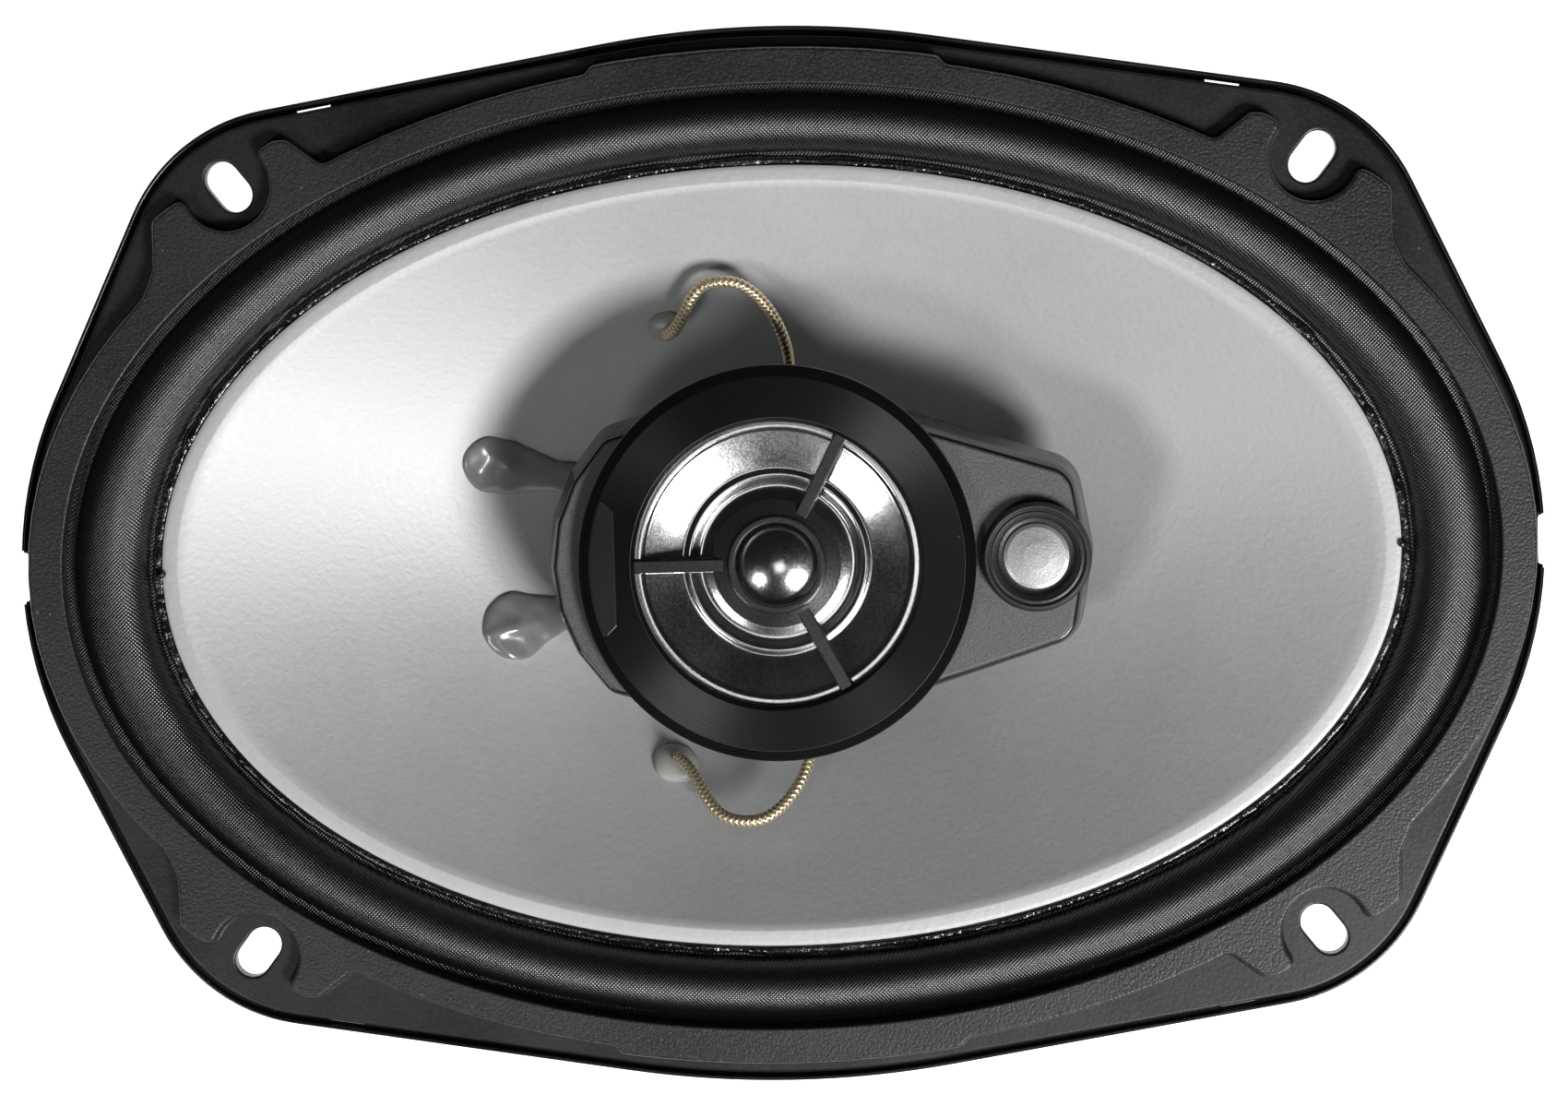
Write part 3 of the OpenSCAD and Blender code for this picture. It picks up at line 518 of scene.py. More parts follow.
class GroupShelf:
    """The shader node groups that the finishes share, each built once."""

    def __init__(self) -> None:
        """Starts with no groups."""
        self.made: dict[str, bpy.types.NodeTree] = {}

    def start(self, name: str, inputs: dict[str, float],
              outputs: tuple[str, ...]) -> tuple[NodeKit, bpy.types.Node, bpy.types.Node]:
        """Opens a new group.

        Args:
            name: The group's name.
            inputs: Names of its inputs and their values.
            outputs: Names of its outputs.

        Returns:
            The group's kit, and its input and output nodes.
        """
        tree = bpy.data.node_groups.new(name, "ShaderNodeTree")
        for key, value in inputs.items():
            tree.interface.new_socket(name=key, in_out="INPUT",
                                      socket_type="NodeSocketFloat").default_value = value
        for key in outputs:
            tree.interface.new_socket(name=key, in_out="OUTPUT", socket_type="NodeSocketFloat")
        self.made[name] = tree
        kit = NodeKit(tree)
        return kit, kit.add("NodeGroupInput"), kit.add("NodeGroupOutput")

    def group(self, name: str) -> bpy.types.NodeTree:
        """Gives a group, and builds it if it isn't there yet."""
        if name not in self.made:
            getattr(self, "build_" + name)()
        return self.made[name]

    def build_tone(self) -> None:
        """Slow change of tone over a surface: soft noise, stretched to fill 0 to 1."""
        kit, given, out = self.start("tone", {"Scale": 30.0}, ("Mask",))
        cloud = kit.add("ShaderNodeTexNoise", Vector=kit.places(), Scale=given.outputs["Scale"], Detail=4.0,
                        Roughness=0.6)
        kit.put(out.inputs["Mask"], kit.spread(cloud.outputs["Fac"], 0.3, 0.7, 0.0, 1.0))

    def build_moulded_grain(self) -> None:
        """Pebbles of a moulded surface: rounded cells with finer noise over them."""
        kit, given, out = self.start("moulded_grain", {"Pitch": 0.0006}, ("Height", "Mask"))
        scale = kit.maths("DIVIDE", 1.0, given.outputs["Pitch"])
        place = kit.places()
        cell = kit.add("ShaderNodeTexVoronoi", {"feature": "SMOOTH_F1"}, Vector=place, Scale=scale,
                       Smoothness=0.6)
        fine = kit.add("ShaderNodeTexNoise", Vector=place, Scale=kit.maths("MULTIPLY", scale, 1.3),
                       Detail=2.0)
        height = kit.maths("MULTIPLY_ADD", cell.outputs["Distance"], -0.7, fine.outputs["Fac"])
        kit.put(out.inputs["Height"], height)
        kit.put(out.inputs["Mask"], kit.spread(height, -0.1, 0.5, 0.0, 1.0))

    def build_leather_grain(self) -> None:
        """Soft pebbles and creases: two sizes of warped cells."""
        kit, given, out = self.start("leather_grain", {"Pitch": 0.0012}, ("Height", "Mask"))
        scale = kit.maths("DIVIDE", 1.0, given.outputs["Pitch"])
        place = kit.places()
        warp = kit.add("ShaderNodeTexNoise", Vector=place, Scale=kit.maths("MULTIPLY", scale, 0.6),
                       Detail=1.0)
        shift = kit.add("ShaderNodeVectorMath", {"operation": "SCALE"}, i0=warp.outputs["Color"],
                        Scale=0.0012)
        moved = kit.add("ShaderNodeVectorMath", {"operation": "ADD"}, i0=place,
                        i1=shift.outputs[0]).outputs[0]
        cell = kit.add("ShaderNodeTexVoronoi", {"feature": "SMOOTH_F1"}, Vector=moved, Scale=scale,
                       Smoothness=0.8)
        fine = kit.add("ShaderNodeTexNoise", Vector=moved, Scale=kit.maths("MULTIPLY", scale, 0.8),
                       Detail=2.0)
        height = kit.maths("MULTIPLY_ADD", cell.outputs["Distance"], -0.5, fine.outputs["Fac"])
        kit.put(out.inputs["Height"], height)
        kit.put(out.inputs["Mask"], kit.spread(height, -0.1, 0.5, 0.0, 1.0))

    def build_plain_weave(self) -> None:
        """Crossings of a flat cloth: the product of waves along X and along Y, with uneven threads."""
        kit, given, out = self.start("plain_weave", {"Pitch": 0.0009}, ("Height", "Mask"))
        place = kit.places()
        drift = kit.add("ShaderNodeTexNoise", Vector=place, Scale=260.0, Detail=2.0)
        part = kit.add("ShaderNodeSeparateXYZ", i0=place)
        waves = []
        for axis in range(2):
            turns = kit.maths("DIVIDE", part.outputs[axis], given.outputs["Pitch"])
            bent = kit.maths("MULTIPLY_ADD", drift.outputs["Fac"], 0.7, turns)
            waves.append(kit.maths("SINE", kit.maths("MULTIPLY", bent, 2 * math.pi)))
        cross = kit.maths("MULTIPLY_ADD", kit.maths("MULTIPLY", waves[0], waves[1]), 0.5, 0.5)
        kit.put(out.inputs["Height"], cross)
        uneven = kit.add("ShaderNodeTexNoise", Vector=place, Scale=900.0, Detail=1.0)
        lit = kit.maths("MULTIPLY", kit.maths("POWER", cross, 3.0),
                        kit.spread(uneven.outputs["Fac"], 0.35, 0.7, 0.1, 1.0))
        kit.put(out.inputs["Mask"], lit)

    def build_turned_lines(self) -> None:
        """Lines of a turning tool: noise that changes with the distance from the axis alone."""
        kit, given, out = self.start("turned_lines", {"Pitch": 0.0003}, ("Height", "Mask"))
        flat = kit.add("ShaderNodeVectorMath", {"operation": "MULTIPLY"}, i0=kit.places(), i1=(1.0, 1.0, 0.0))
        reach = kit.add("ShaderNodeVectorMath", {"operation": "LENGTH"}, i0=flat.outputs[0]).outputs["Value"]
        line = kit.add("ShaderNodeTexNoise", {"noise_dimensions": "1D"},
                       W=kit.maths("DIVIDE", reach, given.outputs["Pitch"]),
                       Scale=1.0, Detail=3.0, Roughness=0.7)
        kit.put(out.inputs["Height"], line.outputs["Fac"])
        kit.put(out.inputs["Mask"], kit.spread(line.outputs["Fac"], 0.3, 0.7, 0.0, 1.0))

    def build_braid(self) -> None:
        """Strands of a braid, read from the height that the lead's own mesh stores."""
        kit, given, out = self.start("braid", {"Pitch": 0.0005}, ("Height", "Mask"))
        strand = kit.add("ShaderNodeAttribute", {"attribute_name": "strand"}).outputs["Fac"]
        wire = kit.add("ShaderNodeTexNoise", Vector=kit.places(),
                       Scale=kit.maths("DIVIDE", 1.0, given.outputs["Pitch"]), Detail=2.0)
        kit.put(out.inputs["Height"], kit.maths("MULTIPLY_ADD", wire.outputs["Fac"], 0.4, strand))
        kit.put(out.inputs["Mask"],
                kit.spread(kit.maths("MULTIPLY_ADD", wire.outputs["Fac"], 0.5, strand), 0.3, 1.2, 0.0, 1.0))

    def build_specks(self) -> None:
        """Dust and pin marks: small spots at a share of the cells of a fine pattern."""
        kit, given, out = self.start("specks", {"Pitch": 0.002, "Share": 0.1}, ("Mask",))
        scale = kit.maths("DIVIDE", 1.0, given.outputs["Pitch"])
        cell = kit.add("ShaderNodeTexVoronoi", Vector=kit.places(), Scale=scale)
        spot = kit.spread(cell.outputs["Distance"], 0.05, 0.14, 1.0, 0.0)
        draw = kit.add("ShaderNodeSeparateColor", i0=cell.outputs["Color"]).outputs[0]
        keep = kit.maths("LESS_THAN", draw, given.outputs["Share"])
        kit.put(out.inputs["Mask"], kit.maths("MULTIPLY", spot, keep))


@dataclass(frozen=True)
class Finish:
    """One finish: two tones, a range of roughness, relief, dust and plain gloss settings."""

    name: str
    slot: str
    dark: Colour
    light: Colour
    rough: Size = (0.4, 0.5)
    metallic: float = 0.0
    relief: Relief = Relief.SMOOTH
    pitch: float = 0.0006
    depth: float = 0.00005
    strength: float = 0.5
    relief_tone: float = 0.0
    tone_scale: float = 30.0
    dust: float = 0.0
    dust_pitch: float = 0.002
    coat: float = 0.0
    coat_rough: float = 0.1
    sheen: float = 0.0
    specular: float = 0.5
    anisotropic: float = 0.0
    transmission: float = 0.0
    subsurface: float = 0.0

    def build(self, shelf: GroupShelf) -> bpy.types.Material:
        """Builds the finish's material.

        Args:
            shelf: The shared node groups.

        Returns:
            The material.
        """
        material = bpy.data.materials.new(self.name)
        material.use_nodes = True
        kit = NodeKit(material.node_tree)
        shader = next(n for n in material.node_tree.nodes if n.type == "BSDF_PRINCIPLED")
        tone = kit.add("ShaderNodeGroup", {"node_tree": shelf.group("tone")},
                       Scale=self.tone_scale).outputs["Mask"]
        mask = tone
        if self.relief is not Relief.SMOOTH:
            fine = kit.add("ShaderNodeGroup", {"node_tree": shelf.group(self.relief.value)}, Pitch=self.pitch)
            mask = kit.maths("ADD", kit.maths("MULTIPLY", tone, 1 - self.relief_tone),
                             kit.maths("MULTIPLY", fine.outputs["Mask"], self.relief_tone))
            bump = kit.add("ShaderNodeBump", Height=fine.outputs["Height"], Strength=self.strength,
                           Distance=self.depth)
            kit.put(shader.inputs["Normal"], bump.outputs["Normal"])
        colour = kit.blended(mask, (*self.dark, 1.0), (*self.light, 1.0))
        rough = kit.spread(mask, 0.0, 1.0, self.rough[0], self.rough[1])
        if self.dust:
            spots = kit.add("ShaderNodeGroup", {"node_tree": shelf.group("specks")}, Pitch=self.dust_pitch,
                            Share=self.dust)
            pale = tuple(min(1.0, 0.12 + 2.2 * c) for c in self.light)
            colour = kit.blended(kit.maths("MULTIPLY", spots.outputs["Mask"], 0.6), colour, (*pale, 1.0))
        kit.put(shader.inputs["Base Color"], colour)
        kit.put(shader.inputs["Roughness"], rough)
        plain = {"Metallic": self.metallic, "Coat Weight": self.coat, "Coat Roughness": self.coat_rough,
                 "Sheen Weight": self.sheen, "Specular IOR Level": self.specular,
                 "Anisotropic": self.anisotropic, "Transmission Weight": self.transmission,
                 "Subsurface Weight": self.subsurface}
        for key, value in plain.items():
            shader.inputs[key].default_value = value
        if self.subsurface:
            shader.inputs["Subsurface Scale"].default_value = 0.002
        if self.anisotropic:
            kit.put(shader.inputs["Tangent"],
                    kit.add("ShaderNodeTangent", {"direction_type": "RADIAL", "axis": "Z"}).outputs[0])
        return material


def grey(value: float, warm: float = 0.0) -> Colour:
    """A grey of this brightness, a little warm or cold."""
    return (value * (1 + warm), value, value * (1 - warm))


FINISHES = {f.name: f for f in (
    Finish("gloss_enamel", "basket_paint", grey(0.006), grey(0.012, -0.03), (0.16, 0.26), tone_scale=60,
           dust=0.02),
    Finish("trim_grain", "trim_moulding", grey(0.011, -0.04), grey(0.026, -0.05), (0.36, 0.5),
           relief=Relief.GRAIN, pitch=0.00048, depth=0.00007, strength=0.8, relief_tone=0.5, dust=0.05),
    # Lower trim level: the same moulding with a finer, shallower grain. Its darker tone is painted shade of
    # the recess.
    Finish("trim_shelf_shaded", "trim_moulding", grey(0.006, -0.03), grey(0.013, -0.04), (0.34, 0.46),
           relief=Relief.GRAIN, pitch=0.0006, depth=0.00003, strength=0.6, relief_tone=0.3, dust=0.04),
    Finish("cone_skin", "cone_skin", grey(0.5, -0.014), grey(0.57, -0.012), (0.5, 0.58), 0.35,
           relief=Relief.LEATHER, pitch=0.0008, depth=0.00007, strength=0.5, relief_tone=0.3,
           tone_scale=14),
    Finish("surround_cloth", "surround_cloth", grey(0.001), grey(0.004), (0.36, 0.2),
           relief=Relief.WEAVE, pitch=0.0006, depth=0.00008, strength=1.0, relief_tone=0.85, dust=0.03,
           dust_pitch=0.004, specular=1.0),
    Finish("edge_glue", "surround_cloth", grey(0.004), grey(0.01), (0.1, 0.3), relief=Relief.GRAIN,
           pitch=0.0011, depth=0.0003, strength=0.8, coat=0.5, dust=0.05),
    Finish("spider_cloth", "spider_cloth", (0.36, 0.26, 0.1), (0.52, 0.4, 0.17), (0.6, 0.75),
           relief=Relief.WEAVE, pitch=0.0007, depth=0.0002, strength=0.8, relief_tone=0.6, sheen=0.1),
    Finish("pod_grain", "pod_grain", grey(0.045, -0.03), grey(0.11, -0.04), (0.5, 0.6),
           relief=Relief.GRAIN, pitch=0.00032, depth=0.00005, strength=0.7, relief_tone=0.6, dust=0.06,
           specular=0.8),
    Finish("pod_gloss", "pod_grain", grey(0.008), grey(0.014), (0.16, 0.28), tone_scale=80, dust=0.03),
    Finish("pod_plastic", "pod_plastic", grey(0.01), grey(0.018), (0.35, 0.5), relief=Relief.GRAIN,
           pitch=0.0009, depth=0.00008, relief_tone=0.4),
    Finish("turned_black", "turned_black", grey(0.011), grey(0.022, -0.02), (0.26, 0.34), 0.7,
           relief=Relief.TURNED, pitch=0.0003, depth=0.000004, strength=0.2, relief_tone=0.5,
           anisotropic=0.92, dust=0.02),
    Finish("plaque_gloss", "plaque_gloss", grey(0.007), grey(0.012), (0.2, 0.3), dust=0.02),
    Finish("grille_plastic", "grille_plastic", grey(0.014), grey(0.028), (0.32, 0.44),
           relief=Relief.GRAIN, pitch=0.0005, depth=0.00005, relief_tone=0.3),
    Finish("metal_film", "metal_film", grey(0.7, 0.01), grey(0.84, 0.0), (0.14, 0.24), 1.0,
           relief=Relief.GRAIN, pitch=0.0004, depth=0.000012, strength=0.3, relief_tone=0.3),
    Finish("tweeter_silver", "tweeter_silver", grey(0.42), grey(0.52), (0.36, 0.46), 0.85,
           relief=Relief.GRAIN, pitch=0.0004, depth=0.00003, relief_tone=0.4),
    Finish("clear_glue", "clear_glue", (0.5, 0.5, 0.47), (0.62, 0.62, 0.58), (0.3, 0.42),
           transmission=0.45, subsurface=0.2),
    Finish("grey_glue", "grey_glue", grey(0.16), grey(0.24, 0.02), (0.2, 0.34), coat=0.4,
           subsurface=0.15),
    Finish("tinsel", "tinsel", (0.24, 0.16, 0.08), (0.8, 0.68, 0.46), (0.45, 0.28), 0.75,
           relief=Relief.BRAID, pitch=0.0002, depth=0.00006, strength=0.6, relief_tone=0.85),
    Finish("ferrite", "ferrite", grey(0.02), grey(0.04), (0.5, 0.7), relief=Relief.GRAIN, pitch=0.0012,
           depth=0.0001, relief_tone=0.4),
    Finish("black_steel", "black_steel", grey(0.02), grey(0.04), (0.3, 0.42), 0.5, relief=Relief.TURNED,
           pitch=0.0006, depth=0.00003, relief_tone=0.4),
    Finish("zinc_steel", "zinc_steel", grey(0.42), grey(0.6), (0.28, 0.42), 1.0, relief=Relief.GRAIN,
           pitch=0.001, depth=0.00002, relief_tone=0.4),
    Finish("brass", "brass", (0.6, 0.42, 0.16), (0.76, 0.56, 0.26), (0.25, 0.4), 1.0,
           relief=Relief.GRAIN, pitch=0.001, depth=0.00002, relief_tone=0.3),
    Finish("tin_plate", "tin_plate", grey(0.6), grey(0.74), (0.24, 0.36), 1.0, relief=Relief.GRAIN,
           pitch=0.0012, depth=0.00002, relief_tone=0.3),
    Finish("nickel", "nickel", grey(0.5, 0.02), grey(0.64, 0.02), (0.2, 0.3), 1.0),
    Finish("copper_wire", "copper_wire", (0.42, 0.16, 0.06), (0.66, 0.3, 0.13), (0.3, 0.4), 0.9),
    Finish("piezo_ceramic", "piezo_ceramic", (0.66, 0.63, 0.54), (0.8, 0.77, 0.68), (0.5, 0.6)),
    Finish("capacitor_sleeve", "capacitor_sleeve", (0.01, 0.03, 0.16), (0.02, 0.05, 0.24), (0.2, 0.3)),
    Finish("former_film", "former_film", (0.24, 0.13, 0.04), (0.36, 0.2, 0.07), (0.2, 0.3), coat=0.3),
    Finish("felt", "felt", grey(0.01), grey(0.03), (0.8, 0.9), sheen=0.3),
    Finish("phenolic", "phenolic", (0.12, 0.05, 0.018), (0.2, 0.085, 0.03), (0.3, 0.42),
           relief=Relief.WEAVE, pitch=0.0012, depth=0.00003, relief_tone=0.3),
)}


class PaintShop:
    """Builds each finish once, gives pieces their finish and body, and hides the CAD nodes they stand for."""

    def __init__(self) -> None:
        """Starts with no materials made."""
        self.shelf = GroupShelf()
        self.made: dict[str, bpy.types.Material] = {}

    def material(self, name: str) -> bpy.types.Material:
        """Gives the named finish's material."""
        if name not in self.made:
            self.made[name] = FINISHES[name].build(self.shelf)
        return self.made[name]

    def dress(self, piece: bpy.types.Object, finish: str, body: str | None, *nodes: str) -> bpy.types.Object:
        """Finishes a new piece.

        Args:
            piece: The piece.
            finish: The finish's name.
            body: The body it rides on, or None to leave it on no body.
            nodes: The CAD nodes it stands for.

        Returns:
            The piece.
        """
        piece.data.materials.clear()
        piece.data.materials.append(self.material(finish))
        if nodes:
            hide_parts(*nodes)
        if body is not None:
            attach(piece, body)
        LOG.info("%s: %d faces, %s", piece.name, len(piece.data.polygons), finish)
        return piece

    def carry(self, node: str, finish: str) -> None:
        """Gives a CAD node that stays in view its finish."""
        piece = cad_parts[node]
        piece.data.materials.clear()
        piece.data.materials.append(self.material(finish))
        LOG.info("%s: CAD node, %s", node, finish)


def bend_with(piece: bpy.types.Object) -> None:
    """Bakes a piece's placement into its mesh; it gets no weights and bends with neither body.

    Args:
        piece: The piece.
    """
    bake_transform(piece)


def mesh_points(piece: bpy.types.Object) -> np.ndarray:
    """The piece's points in millimetres, one a line."""
    flat = np.empty(len(piece.data.vertices) * 3)
    piece.data.vertices.foreach_get("co", flat)
    return flat.reshape(-1, 3) / MM


def eased(share: np.ndarray) -> np.ndarray:
    """A share from 0 to 1 with soft ends: three squares less two cubes."""
    t = np.clip(share, 0, 1)
    return t * t * (3 - 2 * t)


# ---------------------------------------------------------------- basket and trim


@dataclass
class Basket:
    """Pressed steel basket: flange with a turned-up lip, wall with six windows, cup and bracket."""

    sheet: float = 1.2
    lip_high: float = 2.6
    lip_thick: float = 0.65
    notch_half: float = 3.9
    opening: Size = (109.6, 71.4)
    shoulder_in: float = 3.4
    shoulder_z: float = -8.0
    ledge_r: float = 50.5
    ledge_z: float = -35.3
    windows: int = 6
    window_half: float = 22.0
    window_z: Size = (-34.0, -10.0)
    slot_points: int = 120

    def build(self, shop: PaintShop) -> None:
        """Builds and dresses the basket's pieces.

        Args:
            shop: Where the finishes come from.
        """
        loops = node_outlines("basket", 0.0)
        small = [loop for loop in loops[1:] if len(loop) < self.slot_points]
        edge = edge_section(0.0, self.sheet, 0.3, 0.15)
        hole_edge = edge_section(0.0, self.sheet, 0.12, 0.12, 2)
        inner = oval_loop((self.opening[0] - 0.2, self.opening[1] - 0.2))
        shop.dress(plate("flange_plate", loops[0], small + [inner], edge, hole_edge), "gloss_enamel", CHASSIS,
                   "basket")
        shop.dress(self.lip(loops[0]), "gloss_enamel", CHASSIS, "basket")
        shop.dress(self.wall(), "gloss_enamel", CHASSIS, "basket")
        shop.dress(self.cup(), "gloss_enamel", CHASSIS, "basket")
        bracket = rounded([(-70, -8), (-50, -8), (-50, 8), (-70, 8)], 2.0)
        shop.dress(plate("terminal_bracket", bracket, [], edge_section(-36.0, -35.0, 0.15, 0.15, 2),
                         hole_edge),
                   "gloss_enamel", CHASSIS, "basket")

    def lip(self, outline: np.ndarray) -> bpy.types.Object:
        """Makes the turned-up lip, as two strips that stop at the notches in the flange's ends.

        Args:
            outline: The flange's outline.

        Returns:
            The lip.
        """
        t, h, base = self.lip_thick, self.lip_high, self.sheet
        crown_r = 0.26
        a = np.linspace(0, math.pi / 2, 5)
        outside = np.stack([crown_r * (1 - np.cos(a)), h - crown_r * (1 - np.sin(a))], -1)
        inside = np.stack([t - crown_r * (1 - np.sin(a)), h - crown_r * (1 - np.cos(a))], -1)
        foot = np.array([[t, base + 0.45], [t + 0.12, base + 0.15], [t + 0.5, base - 0.05],
                         [t + 0.5, base - 0.3], [0.02, base - 0.3]])
        section = np.concatenate([outside, inside, foot])
        ways = side_ways(outline)
        strips = Patchwork()
        for side in (1, -1):
            keep = side * outline[:, 1] > self.notch_half
            first = int(np.nonzero(keep & ~np.roll(keep, 1))[0][0])
            order = (first + np.arange(int(keep.sum()))) % len(outline)
            strips.add(rim_points(outline[order], section, 1, ways[order]), True, False, "columns")
        return strips.made("flange_lip")

    def wall(self) -> bpy.types.Object:
        """Makes the oval wall as six cells, each a field between a rounded window and the cell's border.

        In a cell, a point on the border and the point on the window's edge in the same direction are joined
        by straight steps in angle and depth. The wall's half axes at a depth come from its profile.

        Returns:
            The wall, with its thickness and eased edges as modifiers.
        """
        crest = self.sheet - 0.25
        top = np.array([self.opening[0] - 0.5, self.opening[1] - 0.5, crest])
        mid = np.array([self.opening[0] - self.shoulder_in, self.opening[1] - self.shoulder_in,
                        self.shoulder_z])
        low = np.array([self.ledge_r, self.ledge_r, self.ledge_z])
        side, steps, half_cell = 16, 9, 180 / self.windows
        u = np.linspace(-1, 1, side, endpoint=False)
        one = np.ones(side)
        square = np.concatenate([np.stack(pair, -1) for pair in ((u, -one), (one, u), (-u, one), (-one, -u))])
        soft = square / (np.abs(square) ** 7).sum(1)[:, None] ** (1 / 7)
        depth = crest - self.ledge_z
        low_z, high_z = self.window_z
        centre = (low_z + high_z) / 2
        half = np.array([math.radians(self.window_half), (high_z - low_z) / 2])
        window = soft * half + np.array([0, centre])
        middle = self.ledge_z + depth / 2
        border = square * np.array([math.radians(half_cell), depth / 2]) + np.array([0, middle])
        share = np.linspace(0, 1, steps)[:, None, None]
        flat = window[None] * (1 - share) + border[None] * share
        blur = np.linspace(-1.8, 1.8, 7)[:, None, None]
        levels = np.array([low[2], mid[2], top[2]])
        cells = Patchwork()
        for cell in range(self.windows):
            angle = flat[..., 0] + math.radians(half_cell + 2 * half_cell * cell)
            z = flat[..., 1]
            zs = np.clip(z[None] + blur, self.ledge_z, crest)
            a, b = (np.interp(zs, levels, [low[i], mid[i], top[i]]).mean(axis=0) for i in range(2))
            reach = a * b / np.hypot(b * np.cos(angle), a * np.sin(angle))
            cells.add(np.stack([reach * np.cos(angle), reach * np.sin(angle), z], -1), False, True)
        made = cells.made("basket_wall", 60)
        thick = made.modifiers.new("sheet", "SOLIDIFY")
        thick.thickness = self.sheet * MM
        thick.offset = 1.0
        ease = made.modifiers.new("eased", "BEVEL")
        ease.width = 0.3 * MM
        ease.segments = 2
        ease.limit_method = "ANGLE"
        ease.angle_limit = math.radians(50)
        return made

    def cup(self) -> bpy.types.Object:
        """Makes the spider ledge, cup and floor."""
        corners = [(54, -36), (54, -34.8), (46.5, -34.8), (42.8, -48.8),
                   (26, -48.8), (26, -50), (44, -50), (47.7, -36)]
        return lathe("basket_cup", rounded(corners, [0.4, 0.4, 1.2, 1.2, 0.3, 0.3, 2.2, 1.6]))


@dataclass
class Trim:
    """Moulded trim ring in two levels, with a tab round each slot on the upper one."""

    inner: Size = TRIM_IN
    base: float = 1.2
    low: float = 3.0
    high: float = 6.0
    slot_points: int = 90

    def build(self, shop: PaintShop) -> None:
        """Builds and dresses both levels.

        Args:
            shop: Where the finishes come from.
        """
        shelf = node_outlines("trim_ring", self.low)
        slots = [loop for loop in shelf if len(loop) < self.slot_points]
        edge = edge_section(self.base, self.low, 0.2, 0.45)
        hole = edge_section(self.base, self.low, 0.1, 0.4)
        inside = oval_loop((self.inner[0] + 1, self.inner[1] + 1))
        # The lower level takes the moulding's darker copy, which paints in the shade of the recess.
        shop.dress(plate("trim_lower", shelf[0], slots + [inside], edge, hole), "trim_shelf_shaded", CHASSIS,
                   "trim_ring")
        crown = node_outlines("trim_ring", self.high, 0.4, 0.3)[0]
        flare = np.array([[-0.5, -0.4], [-0.5, 0], [-0.28, 0.08], [-0.1, 0.28],
                          [0, 0.55]]) + np.array([0, self.low])
        top = edge_section(self.low + 0.6, self.high, 0.0, 0.55, 5)[6:]
        bore = np.concatenate([[[0.3, self.base + 0.9]], edge_section(self.base + 1, self.high, 0.1, 0.3)])
        shop.dress(plate("trim_upper", crown, [oval_loop(self.inner)], np.concatenate([flare, top]), bore),
                   "trim_grain", CHASSIS, "trim_ring")


# ---------------------------------------------------------------- cone, surround and suspension


